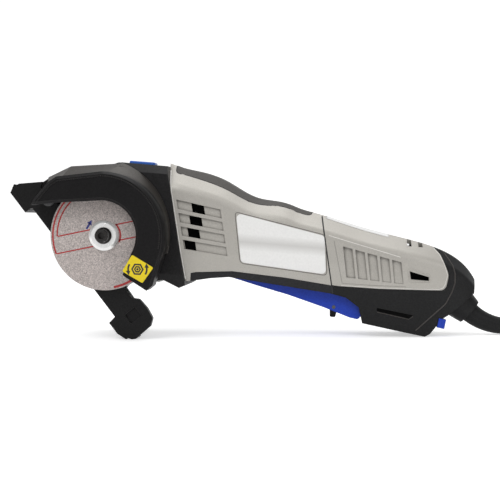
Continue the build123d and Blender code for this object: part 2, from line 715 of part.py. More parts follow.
CORD_PLANE = Plane((CORD_EXIT[0], 0, CORD_EXIT[1]), x_dir=(0, 1, 0),
                   z_dir=(CORD_ALONG[0], 0, CORD_ALONG[1]))
with BuildPart() as end_cap:
    add(casing_outer)
    extrude(ahead_of(END_JOINT), amount=HALF_SPAN, both=True, mode=Mode.SUBTRACT)
    with BuildSketch(CORD_PLANE.offset(-COLLAR_LONG)):
        Circle(COLLAR_R[0])
    with BuildSketch(CORD_PLANE):
        Circle(COLLAR_R[1])
    loft()
    add(casing_inner, mode=Mode.SUBTRACT)
    with BuildSketch(CORD_PLANE):
        Circle(SLEEVE_R)
    extrude(amount=-3 * COLLAR_LONG, mode=Mode.SUBTRACT)


# Gear case with its nose, hinge arms and clamp boss
with BuildPart() as gear_case:
    extrude(outline(CASE_SIDE, side(CASE_FAR_Y)), amount=CASE_FAR_Y - CASE_FRONT_Y)
    extrude(outline(CASE_NOSE, side(NOSE_FAR_Y), CASE_NOSE_ROUND), amount=NOSE_FAR_Y - CASE_FRONT_Y)
    with BuildSketch(side(NOSE_FAR_Y)):
        Circle(NOSE_R)
    extrude(amount=NOSE_FAR_Y - CASE_FRONT_Y)
    with BuildSketch(Plane.YZ.offset(CASE_REACH[0])):
        with BuildLine():
            Polyline(*CASE_SECTION, close=True)
        make_face()
    extrude(amount=CASE_REACH[1] - CASE_REACH[0], mode=Mode.INTERSECT)
    extrude(ahead_of(FRONT_JOINT), amount=HALF_SPAN, both=True, mode=Mode.INTERSECT)
    for y_far, y_near in ((CASE_FRONT_Y + ARM_THICK, CASE_FRONT_Y), (CASE_FAR_Y, CASE_FAR_Y - ARM_THICK)):
        extrude(outline(HINGE_ARM, side(y_far), HINGE_ARM_ROUND), amount=y_far - y_near)
    with BuildSketch(side(CLAMP_FACE_Y)):
        with Locations(CLAMP):
            Circle(CLAMP_BOSS_R)
    extrude(amount=CLAMP_FACE_Y - CASE_FAR_Y + BOSS_ROOT)
    with BuildSketch(side(CASE_FAR_Y)):
        with Locations(HINGE):
            Circle(HINGE_PIN_R)
    extrude(amount=CASE_FAR_Y - CASE_FRONT_Y, mode=Mode.SUBTRACT)
    with BuildSketch(side(CLAMP_FACE_Y)):
        with Locations(CLAMP):
            Circle(CLAMP_BOLT_R)
    extrude(amount=CLAMP_BOLT_DEEP, mode=Mode.SUBTRACT)
    add(collar(CASE_FRONT_Y, CHAMBER_FAR_Y - CASE_FRONT_Y, CHAMBER_R, 0.0), mode=Mode.SUBTRACT)
    add(collar(CHAMBER_FAR_Y, NEEDLE_LONG, NEEDLE_R, 0.0), mode=Mode.SUBTRACT)
    add(ring(0.0, FRONT_BEARING_X, PINION_SPACE_R, 0.0), mode=Mode.SUBTRACT)
    add(ring(FRONT_BEARING_X, BEARING_LONG, FRONT_BEARING_R, 0.0), mode=Mode.SUBTRACT)
    lip_x = FRONT_BEARING_X + BEARING_LONG
    add(ring(lip_x, 2 * BEARING_LIP_LONG, FRONT_BEARING_R - BEARING_LIP, 0.0), mode=Mode.SUBTRACT)
    add(ring(lip_x + BEARING_LIP_LONG, FAN_SPACE_LONG, STATOR_R, 0.0), mode=Mode.SUBTRACT)
    with BuildSketch(Plane.XY.offset(BUTTON_FLOOR)):
        with Locations((BUTTON_X, 0)):
            hole_long, hole_wide = [size + 2 * BUTTON_GAP for size in BUTTON_SIZE]
            RectangleRounded(hole_long, hole_wide, BUTTON_HOLE_ROUND)
    extrude(amount=2 * (BUTTON_TOP - BUTTON_FLOOR), mode=Mode.SUBTRACT)
    with BuildSketch(Plane.XY.offset(STEM_FOOT - STEM_DROP)):
        with Locations((BUTTON_X, 0)):
            Circle(STEM_R + FREE_GAP)
    extrude(amount=BUTTON_FLOOR - STEM_FOOT + 2 * STEM_DROP, mode=Mode.SUBTRACT)

with BuildPart() as shaft_lock_button:
    with BuildSketch(Plane.XY.offset(BUTTON_TOP)):
        with Locations((BUTTON_X, 0)):
            RectangleRounded(BUTTON_SIZE[0], BUTTON_SIZE[1], BUTTON_ROUND)
    extrude(amount=BUTTON_FLOOR + BUTTON_TRAVEL + BUTTON_SPARE - BUTTON_TOP)
    fillet(shaft_lock_button.faces().sort_by(Axis.Z)[-1].edges(), BUTTON_EDGE)
    with BuildSketch(Plane.XY.offset(STEM_FOOT + BUTTON_TRAVEL)):
        with Locations((BUTTON_X, 0)):
            Circle(STEM_R)
    extrude(amount=BUTTON_TOP - STEM_ROOT - STEM_FOOT - BUTTON_TRAVEL)

# Spindle with its bearings, bevel gear, flanges, disc and bolt
SPINDLE_END_Y = DISC_BACK_Y + PILOT_SHORT
with BuildPart() as bearing_plate:
    add(turned([(PLATE_BORE_R, PLATE_FRONT_Y), (PLATE_R, PLATE_FRONT_Y), (PLATE_R, CASE_FRONT_Y),
                (CHAMBER_R, CASE_FRONT_Y), (CHAMBER_R, SPIGOT_Y), (BALL_R, SPIGOT_Y),
                (BALL_R, BALL_Y), (PLATE_BORE_R, BALL_Y)], Axis.Y, Plane.XY))

with BuildPart() as front_spindle_bearing:
    add(collar(BALL_Y, BALL_LONG, BALL_R, SPINDLE_R))

with BuildPart() as rear_spindle_bearing:
    add(collar(CHAMBER_FAR_Y, NEEDLE_LONG, NEEDLE_R, SPINDLE_TAIL_R + RUN_GAP))

with BuildPart() as spindle:
    add(turned([(BOLT_R, SPINDLE_END_Y), (PILOT_R, SPINDLE_END_Y), (PILOT_R, INNER_FLANGE_Y),
                (SPINDLE_SHOULDER_R, INNER_FLANGE_Y), (SPINDLE_SHOULDER_R, BALL_Y - BALL_SEAT),
                (SPINDLE_R, BALL_Y - BALL_SEAT), (SPINDLE_R, SPINDLE_STEP_Y),
                (SPINDLE_TAIL_R, SPINDLE_STEP_Y), (SPINDLE_TAIL_R, SPINDLE_TAIL_Y), (0, SPINDLE_TAIL_Y),
                (0, BOLT_DEEP_Y), (BOLT_R, BOLT_DEEP_Y)], Axis.Y, Plane.XY))

with BuildPart() as inner_flange:
    add(turned([(PILOT_R, INNER_FLANGE_Y), (FLANGE_R, INNER_FLANGE_Y), (FLANGE_R, DISC_BACK_Y),
                (PILOT_R, DISC_BACK_Y)], Axis.Y, Plane.XY))

DISC_FRONT_Y = DISC_BACK_Y - DISC_THICK
OUTER_FLANGE_Y = DISC_FRONT_Y - FLANGE_THICK
with BuildPart() as cutting_disc:
    add(collar(DISC_FRONT_Y, DISC_THICK, DISC_R, DISC_BORE_R))

with BuildPart() as outer_flange:
    add(turned([(BOLT_R + BOLT_GAP, DISC_FRONT_Y), (FLANGE_R, DISC_FRONT_Y),
                (FLANGE_R, DISC_FRONT_Y - FLANGE_RIM), (FLANGE_R - FLANGE_TAPER, OUTER_FLANGE_Y),
                (BOLT_R + BOLT_GAP, OUTER_FLANGE_Y)], Axis.Y, Plane.XY))

BOLT_TOP_Y = OUTER_FLANGE_Y - BOLT_HEAD_LONG
BOLT_COLLAR_Y = OUTER_FLANGE_Y - BOLT_COLLAR_LONG
BOLT_END_Y = BOLT_DEEP_Y - BOLT_END_GAP
with BuildPart() as disc_bolt:
    add(turned([(0, BOLT_TOP_Y), (BOLT_HEAD_R - BOLT_CHAMFER, BOLT_TOP_Y),
                (BOLT_HEAD_R, BOLT_TOP_Y + BOLT_CHAMFER), (BOLT_HEAD_R, BOLT_COLLAR_Y - BOLT_COLLAR_TAPER),
                (BOLT_COLLAR_R, BOLT_COLLAR_Y), (BOLT_COLLAR_R, OUTER_FLANGE_Y), (BOLT_R, OUTER_FLANGE_Y),
                (BOLT_R, BOLT_END_Y), (0, BOLT_END_Y)], Axis.Y, Plane.XY))
    with BuildSketch(side(BOLT_TOP_Y)):
        RegularPolygon(BOLT_SOCKET_R, 6)
    extrude(amount=-BOLT_SOCKET_DEEP, mode=Mode.SUBTRACT)


def involute(angle):
    """The involute function of an angle in radians."""
    return math.tan(angle) - angle


def bevel_wheel(count, mate, bore, hub_r, hub_long):
    """A straight bevel gear on +Z, its cone's point at the origin; each flank is an involute."""
    pressure = math.radians(PRESSURE_ANGLE)
    cone = math.atan2(count, mate)
    pitch_r, depth = GEAR_MODULE * count / 2, GEAR_MODULE * mate / 2
    reach = math.hypot(pitch_r, depth)
    back_r = pitch_r / math.cos(cone)
    base_r = back_r * math.cos(pressure)
    half_pitch = TOOTH_SHARE * math.pi * GEAR_MODULE / 2
    flank = []
    for height in (-TOOTH_ROOT - TOOTH_SINK, -TOOTH_ROOT / 2, 0.0, TOOTH_RISE / 2, TOOTH_RISE):
        r = back_r + height
        lean = math.acos(min(1.0, base_r / r))
        flank.append((r * (half_pitch / back_r + involute(pressure) - involute(lean)), height))
    tooth_outline = flank + [(-half, height) for half, height in reversed(flank)]
    small = (reach - TOOTH_FACE) / reach
    with BuildPart() as tooth:
        for share in (1.0, small):
            at = Plane((share * pitch_r, 0, share * depth), x_dir=(0, 1, 0),
                       z_dir=(math.sin(cone), 0, math.cos(cone)))
            with BuildSketch(at):
                with BuildLine():
                    corners = [(share * half, -share * height) for half, height in tooth_outline]
                    Polyline(*corners, close=True)
                make_face()
        loft(ruled=True)
    root = (pitch_r - TOOTH_ROOT * math.cos(cone), depth + TOOTH_ROOT * math.sin(cone))
    with BuildPart() as wheel:
        add(turned([(bore, small * root[1]), (small * root[0], small * root[1]), root,
                    (hub_r, root[1]), (hub_r, depth + hub_long), (bore, depth + hub_long)], Axis.Z))
        for index in range(count):
            add(tooth.part, rotation=(0, 0, 360.0 * index / count))
    return wheel.part


# The gear's axis points to the disc, the pinion's to the motor; a gear gap faces the pinion's tooth
GEAR_PHASE = 180.0 / GEAR_TEETH
gear_form = bevel_wheel(GEAR_TEETH, PINION_TEETH, SPINDLE_R, GEAR_HUB_R, GEAR_HUB)
pinion_form = bevel_wheel(PINION_TEETH, GEAR_TEETH, PINION_BORE_R, PINION_HUB_R, PINION_HUB)
gear_way = Plane((0, 0, 0), x_dir=(1, 0, 0), z_dir=(0, -1, 0)).location
pinion_way = Plane((0, 0, 0), x_dir=(0, -1, 0), z_dir=(1, 0, 0)).location
bevel_gear = gear_way * Rot(0, 0, GEAR_PHASE) * gear_form
bevel_pinion = pinion_way * pinion_form

# Motor: shaft, core, windings, commutator and fan turn together
with BuildPart() as armature_shaft:
    add(turned([(PINION_TIP_X, 0), (PINION_TIP_X, PINION_BORE_R), (FRONT_BEARING_X, PINION_BORE_R),
                (FRONT_BEARING_X, SHAFT_R), (REAR_BEARING_X, SHAFT_R), (REAR_BEARING_X, REAR_SHAFT_R),
                (SHAFT_END_X, REAR_SHAFT_R), (SHAFT_END_X, 0)], Axis.X))

with BuildPart() as armature_core:
    with BuildSketch(Plane.YZ.offset(STACK_X)):
        Circle(ARMATURE_R)
        with PolarLocations(ARMATURE_R - CORE_SLOT_IN, CORE_SLOTS):
            Rectangle(*CORE_SLOT, mode=Mode.SUBTRACT)
        with PolarLocations(ARMATURE_R, CORE_SLOTS):
            Rectangle(*CORE_MOUTH, mode=Mode.SUBTRACT)
        Circle(SHAFT_R, mode=Mode.SUBTRACT)
    extrude(amount=STACK_LONG)

with BuildPart() as armature_windings:
    winding_r = ARMATURE_R - WINDING_INSET
    bevelled_r = winding_r - WINDING_BEVEL
    for x in (STACK_X - WINDING_LONG, STACK_X + STACK_LONG):
        end = x + WINDING_LONG
        add(turned([(x, SHAFT_R), (end, SHAFT_R), (end, bevelled_r), (end - WINDING_BEVEL, winding_r),
                    (x + WINDING_BEVEL, winding_r), (x, bevelled_r)], Axis.X))

with BuildPart() as commutator:
    with BuildSketch(Plane.YZ.offset(COMMUTATOR_X)):
        Circle(COMMUTATOR_R)
        with PolarLocations(COMMUTATOR_R, COMMUTATOR_BARS):
            Rectangle(*COMMUTATOR_GROOVE, mode=Mode.SUBTRACT)
        Circle(SHAFT_R, mode=Mode.SUBTRACT)
    extrude(amount=COMMUTATOR_LONG)

with BuildPart() as cooling_fan:
    add(turned([(FAN_X, SHAFT_R), (FAN_X + FAN_LONG, SHAFT_R), (FAN_X + FAN_LONG, FAN_HUB_R),
                (FAN_X + FAN_DISC, FAN_R - FAN_RIM), (FAN_X + FAN_DISC, FAN_R), (FAN_X, FAN_R)], Axis.X))
    with BuildSketch(Plane.YZ.offset(FAN_X + FAN_DISC / 2)):
        with PolarLocations((FAN_R + FAN_BLADE_FROM) / 2, FAN_BLADES):
            Rectangle(FAN_R - FAN_BLADE_FROM, FAN_BLADE_THICK)
    extrude(amount=FAN_LONG - FAN_DISC)

with BuildPart() as stator_core:
    with BuildSketch(Plane.YZ.offset(STACK_X)):
        Circle(STATOR_R)
        Circle(STATOR_BORE_R, mode=Mode.SUBTRACT)
        with Locations((STATOR_SLOT_AT, 0), (-STATOR_SLOT_AT, 0)):
            Rectangle(*STATOR_SLOT, mode=Mode.SUBTRACT)
    extrude(amount=STACK_LONG)

with BuildPart() as field_coils:
    with BuildSketch(Plane.YZ.offset(STACK_X - COIL_OVERHANG)):
        with Locations((FIELD_COIL_AT, 0), (-FIELD_COIL_AT, 0)):
            RectangleRounded(*FIELD_COIL, FIELD_COIL_ROUND)
    extrude(amount=STACK_LONG + 2 * COIL_OVERHANG)

with BuildPart() as front_motor_bearing:
    add(ring(FRONT_BEARING_X, BEARING_LONG, FRONT_BEARING_R, SHAFT_R + RUN_GAP))

with BuildPart() as rear_motor_bearing:
    add(ring(REAR_BEARING_X, REAR_BEARING_LONG, REAR_BEARING_R, REAR_SHAFT_R + RUN_GAP))

BRUSH_X = COMMUTATOR_X + COMMUTATOR_LONG / 2
with BuildPart() as carbon_brushes:
    for away in (1, -1):
        tip = (BRUSH_X, away * (COMMUTATOR_R + BRUSH_GAP), 0)
        with BuildSketch(Plane(tip, x_dir=(1, 0, 0), z_dir=(0, away, 0))):
            Rectangle(*BRUSH_SIZE)
        extrude(amount=BRUSH_LONG)

with BuildPart() as brush_holders:
    for away in (1, -1):
        with BuildSketch(Plane((BRUSH_X, away * HOLDER_Y, 0), x_dir=(1, 0, 0), z_dir=(0, away, 0))):
            Rectangle(BRUSH_SIZE[0] + 2 * HOLDER_WALL, BRUSH_SIZE[1] + 2 * HOLDER_WALL)
            Rectangle(*BRUSH_SIZE, mode=Mode.SUBTRACT)
        extrude(amount=HOLDER_LONG)
        with BuildSketch(Plane.YZ.offset(BRUSH_X + BRUSH_SIZE[0] / 2 + HOLDER_WALL)):
            with Locations((away * (HOLDER_Y + HOLDER_LONG / 2), 0)):
                Rectangle(HOLDER_LONG, BRUSH_SIZE[1] + 2 * HOLDER_WALL)
        extrude(amount=HOLDER_FOOT)

# Guard: rear shell on the gear case, and the cover in front of the disc
GUARD_INSIDE_R = GUARD_R - GUARD_WALL


def on_circle(radius, angle):
    """A point at angle, in degrees, on a circle round the spindle."""
    return radius * math.cos(math.radians(angle)), radius * math.sin(math.radians(angle))


with BuildPart() as guard_cover:
    with BuildSketch(side(GUARD_JOIN_Y)):
        with BuildLine():
            Polyline(*GUARD_TOP, on_circle(GUARD_R, RIM_TOP))
            CenterArc((0, 0), GUARD_R, RIM_TOP, RIM_LOW - RIM_TOP)
            Polyline(on_circle(GUARD_R, RIM_LOW), *GUARD_TAIL, on_circle(GUARD_MOUTH_R, MOUTH_LOW))
            CenterArc((0, 0), GUARD_MOUTH_R, MOUTH_LOW, MOUTH_TOP - MOUTH_LOW)
            Polyline(on_circle(GUARD_MOUTH_R, MOUTH_TOP), MOUTH_CORNER, GUARD_TOP[0])
        make_face()
    extrude(amount=GUARD_JOIN_Y - GUARD_FRONT_Y)
    front_edges = guard_cover.faces().sort_by(Axis.Y)[0].edges()
    chamfer(front_edges.filter_by(lambda edge: edge.center().length > GUARD_COVER_EDGE), GUARD_BEVEL)
    with BuildSketch(side(GUARD_JOIN_Y)):
        with BuildLine():
            Polyline(COVER_INSIDE_END, *COVER_INSIDE_TOP, on_circle(GUARD_INSIDE_R, RIM_TOP))
            CenterArc((0, 0), GUARD_INSIDE_R, RIM_TOP, RIM_LOW - RIM_TOP)
            Polyline(on_circle(GUARD_INSIDE_R, RIM_LOW), *COVER_INSIDE_LOW, COVER_INSIDE_END)
        make_face()
    extrude(amount=GUARD_JOIN_Y - GUARD_FRONT_Y - GUARD_WALL, mode=Mode.SUBTRACT)


def guard_ring(y, points, right, end, shrink):
    """The rear shell's closed outline at depth y: top points, then the rim's arc, then a chord."""
    with BuildSketch(side(y)) as drawn:
        with BuildLine():
            Polyline(*points)
            ThreePointArc(points[-1], right, end)
            chord_x, chord_z = SHELL_CHORD[0], SHELL_CHORD[1] + shrink
            Polyline(end, (chord_x, chord_z), (-chord_x, chord_z), points[0])
        make_face()
    return drawn.sketch


with BuildPart() as guard_shell:
    rim_end = on_circle(GUARD_R, RIM_LOW)
    front_points = [SHELL_FRONT_END, *GUARD_TOP[1:], on_circle(GUARD_R, RIM_TOP)]
    front_ring = guard_ring(GUARD_JOIN_Y, front_points, on_circle(GUARD_R, RIM_MIDDLE), rim_end, 0.0)
    back_ring = guard_ring(GUARD_BACK_Y, SHELL_BACK, SHELL_BACK_RIGHT, rim_end, 0.0)
    loft([front_ring, back_ring])
    inside_end = on_circle(GUARD_INSIDE_R, RIM_LOW)
    inside_points = [SHELL_INNER_END, *COVER_INSIDE_TOP, on_circle(GUARD_INSIDE_R, RIM_TOP)]
    front_void = guard_ring(GUARD_JOIN_Y - SHELL_LAP, inside_points, on_circle(GUARD_INSIDE_R, RIM_MIDDLE),
                            inside_end, GUARD_WALL)
    back_void = guard_ring(GUARD_BACK_Y - SHELL_PLATE, SHELL_INNER, SHELL_INNER_RIGHT, inside_end,
                           GUARD_WALL)
    loft([front_void, back_void], mode=Mode.SUBTRACT)
    extrude(outline(SHELL_GAP, side(GUARD_BACK_Y - SHELL_PLATE)), amount=HALF_SPAN, mode=Mode.SUBTRACT)
    with BuildSketch(side(GUARD_BACK_Y)):
        Circle(PLATE_R + SHELL_BORE_GAP)
        with Locations(HINGE):
            Circle(HINGE_PIN_R + FREE_GAP)
    extrude(amount=HALF_SPAN, mode=Mode.SUBTRACT)

with BuildPart() as guard_sticker:
    extrude(outline(STICKER, side(GUARD_FRONT_Y), STICKER_ROUND), amount=STICKER_THICK)

# Foot: near side wall with the sole's edge, far bar, toe and heel plates
with BuildPart() as foot:
    extrude(outline(FOOT_WALL, foot_side(NEAR_BAR_Y[1])), amount=NEAR_BAR_Y[1] - NEAR_BAR_Y[0])
    extrude(outline(FOOT_EDGE, foot_side(NEAR_BAR_Y[1])), amount=NEAR_BAR_Y[1] - HEEL_CHEEK_Y[0])
    extrude(outline(TOE_CHEEK, side(NEAR_BAR_Y[1])), amount=NEAR_BAR_Y[1] - NEAR_BAR_Y[0])
    extrude(outline(HEEL_CHEEK, foot_side(HEEL_CHEEK_Y[1]), HEEL_ROUND),
            amount=HEEL_CHEEK_Y[1] - HEEL_CHEEK_Y[0])
    extrude(outline(FAR_WALL, foot_side(FAR_BAR_Y[1])), amount=FAR_BAR_Y[1] - FAR_BAR_Y[0])
    for plate in (TOE_PLATE, HEEL_PLATE):
        extrude(outline(plate, foot_side(FAR_BAR_Y[1])), amount=FAR_BAR_Y[1] - HEEL_CHEEK_Y[0])
    extrude(outline(HEEL_LIP, foot_side(HEEL_LIP_Y)), amount=HEEL_LIP_Y - HEEL_CHEEK_Y[0])
    for y in (NEAR_BAR_Y, FAR_BAR_Y):
        with BuildSketch(side(y[1])):
            with Locations(HINGE):
                Circle(HINGE_EYE_R)
        extrude(amount=y[1] - y[0])
    with BuildSketch(side(FAR_BAR_Y[1])):
        with Locations(HINGE):
            Circle(HINGE_PIN_R + RUN_GAP)
    extrude(amount=2 * HALF_SPAN, mode=Mode.SUBTRACT)
    recess = outline(HEEL_RECESS, foot_side(HEEL_CHEEK_Y[0] + HEEL_RECESS_DEEP), HEEL_RECESS_ROUND)
    extrude(recess, amount=2 * HEEL_RECESS_DEEP, mode=Mode.SUBTRACT)

with BuildPart() as hinge_pin:
    with BuildSketch(side(FAR_BAR_Y[1] + PIN_TAIL)):
        with Locations(HINGE):
            Circle(HINGE_PIN_R)
    extrude(amount=FAR_BAR_Y[1] + PIN_TAIL - PIN_HEAD_Y)
    with BuildSketch(side(PIN_HEAD_Y)):
        with Locations(HINGE):
            Circle(PIN_HEAD_R)
    extrude(amount=PIN_HEAD_LONG)

# Depth clamp: slotted quadrant on the foot, bolt in the gear case, lever on the bolt
clamp_r = math.dist(HINGE, CLAMP)
clamp_angle = math.degrees(math.atan2(CLAMP[1] - HINGE[1], CLAMP[0] - HINGE[0]))
slot_from = clamp_angle - DEPTH_SWING[1] - SLOT_SPARE
slot_size = DEPTH_SWING[1] - DEPTH_SWING[0] + 2 * SLOT_SPARE
with BuildPart() as depth_quadrant:
    with BuildSketch(side(QUADRANT_Y[1])):
        with BuildLine(mode=Mode.PRIVATE):
            slot_line = CenterArc(HINGE, clamp_r, slot_from, slot_size)
        SlotArc(slot_line, 2 * QUADRANT_HALF)
        with BuildLine():
            Polyline(*QUADRANT_FOOT, close=True)
        make_face()
        SlotArc(slot_line, 2 * CLAMP_SLOT_R, mode=Mode.SUBTRACT)
    extrude(amount=QUADRANT_Y[1] - QUADRANT_Y[0])

with BuildPart() as depth_bolt:
    nut_y = LEVER_Y[1] + FREE_GAP
    with BuildSketch(side(nut_y)):
        with Locations(CLAMP):
            Circle(CLAMP_BOLT_R)
    extrude(amount=nut_y - CLAMP_FACE_Y + CLAMP_BOLT_DEEP)
    with BuildSketch(side(nut_y + CLAMP_NUT_THICK)):
        with Locations(CLAMP):
            RegularPolygon(CLAMP_NUT_R, 6)
    extrude(amount=CLAMP_NUT_THICK)

with BuildPart() as depth_lever:
    with BuildSketch(side(LEVER_Y[1])):
        with Locations(CLAMP):
            Circle(LEVER_HUB_R)
            with Locations(LEVER_TIP):
                Circle(LEVER_TIP_R)
        make_hull()
    extrude(amount=LEVER_THICK)
    with BuildSketch(side(LEVER_Y[1])):
        with Locations(CLAMP):
            Circle(LEVER_HUB_R)
    extrude(amount=LEVER_Y[1] - LEVER_Y[0])
    with BuildSketch(side(LEVER_Y[1])):
        with Locations(CLAMP):
            Circle(CLAMP_BOLT_R + RUN_GAP)
    extrude(amount=HALF_SPAN, mode=Mode.SUBTRACT)

# Paddle switch with its lock lever, and the switch that it works
with BuildPart() as paddle:
    extrude(outline(PADDLE_SIDE, side(0), PADDLE_ROUND), amount=PADDLE_HALF, both=True)
    extrude(outline(PADDLE_HOLLOW, side(0)), amount=PADDLE_HALF - PADDLE_WALL, both=True,
            mode=Mode.SUBTRACT)
    for y in (PADDLE_HALF, -PADDLE_HALF + PADDLE_WALL):
        extrude(outline(PADDLE_EAR, side(y), PADDLE_EAR_ROUND), amount=PADDLE_WALL)
    with BuildSketch(Plane.XZ):
        with Locations(PADDLE_PIVOT):
            Circle(PADDLE_PIN_R + RUN_GAP)
        with Locations(LOCK_PIN):
            Circle(LOCK_PIN_R)
    extrude(amount=HALF_SPAN, both=True, mode=Mode.SUBTRACT)
    with BuildSketch(Plane.XY.offset(LOCK_SLOT_Z[0])):
        with Locations((LOCK_SLOT_X, 0)):
            Rectangle(LOCK_SLOT_LONG, 2 * (LOCK_HALF + LOCK_GAP))
    extrude(amount=LOCK_SLOT_Z[1] - LOCK_SLOT_Z[0], mode=Mode.SUBTRACT)
    with BuildSketch(Plane.XY.offset(PLUNGER_FOOT - FREE_GAP)):
        with Locations((PLUNGER_X, 0)):
            Rectangle(*PADDLE_POST_SIZE)
    extrude(amount=PADDLE_POST)

with BuildPart() as lock_pin:
    with BuildSketch(side(PADDLE_HALF)):
        with Locations(LOCK_PIN):
            Circle(LOCK_PIN_R)
    extrude(amount=2 * PADDLE_HALF)

with BuildPart() as lock_lever:
    extrude(outline(LOCK_SIDE, side(LOCK_HALF), LOCK_ROUND), amount=2 * LOCK_HALF)
    with BuildSketch(side(LOCK_HALF)):
        with Locations(LOCK_PIN):
            Circle(LOCK_PIN_R + RUN_GAP)
    extrude(amount=2 * LOCK_HALF, mode=Mode.SUBTRACT)

with BuildPart() as switch_body:
    extrude(outline(SWITCH_SIDE, side(SWITCH_HALF)), amount=2 * SWITCH_HALF)
    with BuildSketch(Plane.XY.offset(SWITCH_SIDE[0][1])):
        with Locations((PLUNGER_X, 0)):
            Circle(PLUNGER_R + FREE_GAP)
    extrude(amount=PLUNGER_BORE, mode=Mode.SUBTRACT)

with BuildPart() as switch_plunger:
    with BuildSketch(Plane.XY.offset(PLUNGER_FOOT)):
        with Locations((PLUNGER_X, 0)):
            Circle(PLUNGER_R)
    extrude(amount=SWITCH_SIDE[0][1] - PLUNGER_FOOT + PLUNGER_BORE - PLUNGER_LEFT_OVER)

# Hex key in the tail's store, with its moulded grip
with BuildPart() as hex_key:
    with BuildSketch(KEY_PLANE):
        RegularPolygon(KEY_R, 6)
    extrude(amount=KEY_LONG)
    with BuildSketch(KEY_PLANE):
        RectangleRounded(KEY_TAB[1], KEY_TAB[0], KEY_TAB_ROUND)
    extrude(amount=-KEY_TAB[2])

# Cord, drawn as it lies on the floor: strain relief, free run, coil, tie and plug
lean = math.radians(LEAN)
exit_x = CORD_EXIT[0] * math.cos(lean) + CORD_EXIT[1] * math.sin(lean)
exit_z = SPINDLE_HEIGHT - CORD_EXIT[0] * math.sin(lean) + CORD_EXIT[1] * math.cos(lean)
exit_fall = math.atan2(-CORD_ALONG[1], CORD_ALONG[0]) + lean
last_fall = math.radians(SLEEVE_LAST_FALL)


def sleeve_point(fall):
    """The sleeve's middle line where it falls at this angle, on an arc from the collar."""
    return (exit_x + SLEEVE_BEND * (math.sin(exit_fall) - math.sin(fall)), 0.0,
            exit_z - SLEEVE_BEND * (math.cos(fall) - math.cos(exit_fall)))


with BuildPart() as strain_relief:
    for share in (0.0, 0.25, 0.5, 0.75, 1.0):
        fall = exit_fall + share * (last_fall - exit_fall)
        way = (math.cos(fall), 0, -math.sin(fall))
        with BuildSketch(Plane(sleeve_point(fall), x_dir=(0, 1, 0), z_dir=way)):
            Circle(SLEEVE_R + share * (SLEEVE_WAIST_R - SLEEVE_R))
    waist = sleeve_point(last_fall)
    sleeve_end = (waist[0] + SLEEVE_RUN * way[0], 0.0, waist[2] + SLEEVE_RUN * way[2])
    with BuildSketch(Plane(sleeve_end, x_dir=(0, 1, 0), z_dir=way)):
        Circle(SLEEVE_TIP_R)
    loft()

# The coil winds in on its lower layer, climbs in the half turn where it reverses, and winds out again
coil_z = TIE_THICK + CORD_R + COIL_LIFT
layer_turns = (COIL_TURNS - 0.5) / 2


def coil_point(turn):
    """A point of the coil's middle line after so many turns."""
    climb = min(max(2 * (turn - layer_turns), 0.0), 1.0)
    wound = min(turn, layer_turns) + (climb - climb * climb) / 2 - max(0.0, turn - layer_turns - 0.5)
    radius = COIL_OUT_R - COIL_PITCH * wound
    height = coil_z + COIL_RISE * climb * climb * (3 - 2 * climb)
    angle = 2 * math.pi * turn + math.radians(COIL_START)
    x, y = radius * math.cos(angle), radius * math.sin(angle)
    return Vector(COIL_MIDDLE[0] + x, COIL_MIDDLE[1] + y, height)


def coil_heading(turn):
    """The coil's direction after so many turns."""
    step = 1e-4
    return (coil_point(turn + step) - coil_point(turn - step)).normalized()


def biarc_middle(start, start_way, end, end_way):
    """The point where two arcs meet that leave start and reach end along the given ways."""
    across = end - start
    ways = start_way + end_way
    spread = 2 * (1 - start_way.dot(end_way))
    pull = across.dot(ways)
    reach = (math.sqrt(pull * pull + spread * across.dot(across)) - pull) / spread
    return (start + end + (start_way - end_way) * reach) * 0.5


quarters = [turn / 4 for turn in range(int(4 * COIL_TURNS) + 1)]
with BuildPart() as cord_coil:
    with BuildLine() as coil_line:
        first_way = coil_heading(quarters[0])
        last_way = coil_heading(quarters[-1])
        Line(coil_point(quarters[0]) - first_way * 2 * CORD_R, coil_point(quarters[0]))
        for turn, after in zip(quarters, quarters[1:]):
            start, end = coil_point(turn), coil_point(after)
            middle = biarc_middle(start, coil_heading(turn), end, coil_heading(after))
            TangentArc(start, middle, tangent=coil_heading(turn))
            TangentArc(end, middle, tangent=coil_heading(after) * -1)
        Line(coil_point(quarters[-1]), coil_point(quarters[-1]) + last_way * PLUG_LEAD)
    with BuildSketch(Plane(coil_point(quarters[0]) - first_way * 2 * CORD_R, z_dir=first_way)):
        RegularPolygon(CORD_R, CORD_SIDES)
    sweep(path=coil_line.wire())

coil_length = coil_line.wire().length
coil_samples = [coil_line.wire() @ (index / COIL_SAMPLES) for index in range(COIL_SAMPLES + 1)]
apart = round(COIL_SAMPLES * COIL_APART / coil_length)
spacings = [(a - b).length for i, a in enumerate(coil_samples) for b in coil_samples[i + apart:]]
least_gap = min(spacings) - 2 * CORD_R
print("coil length", round(coil_length, 1), "least gap", round(least_gap, 2))

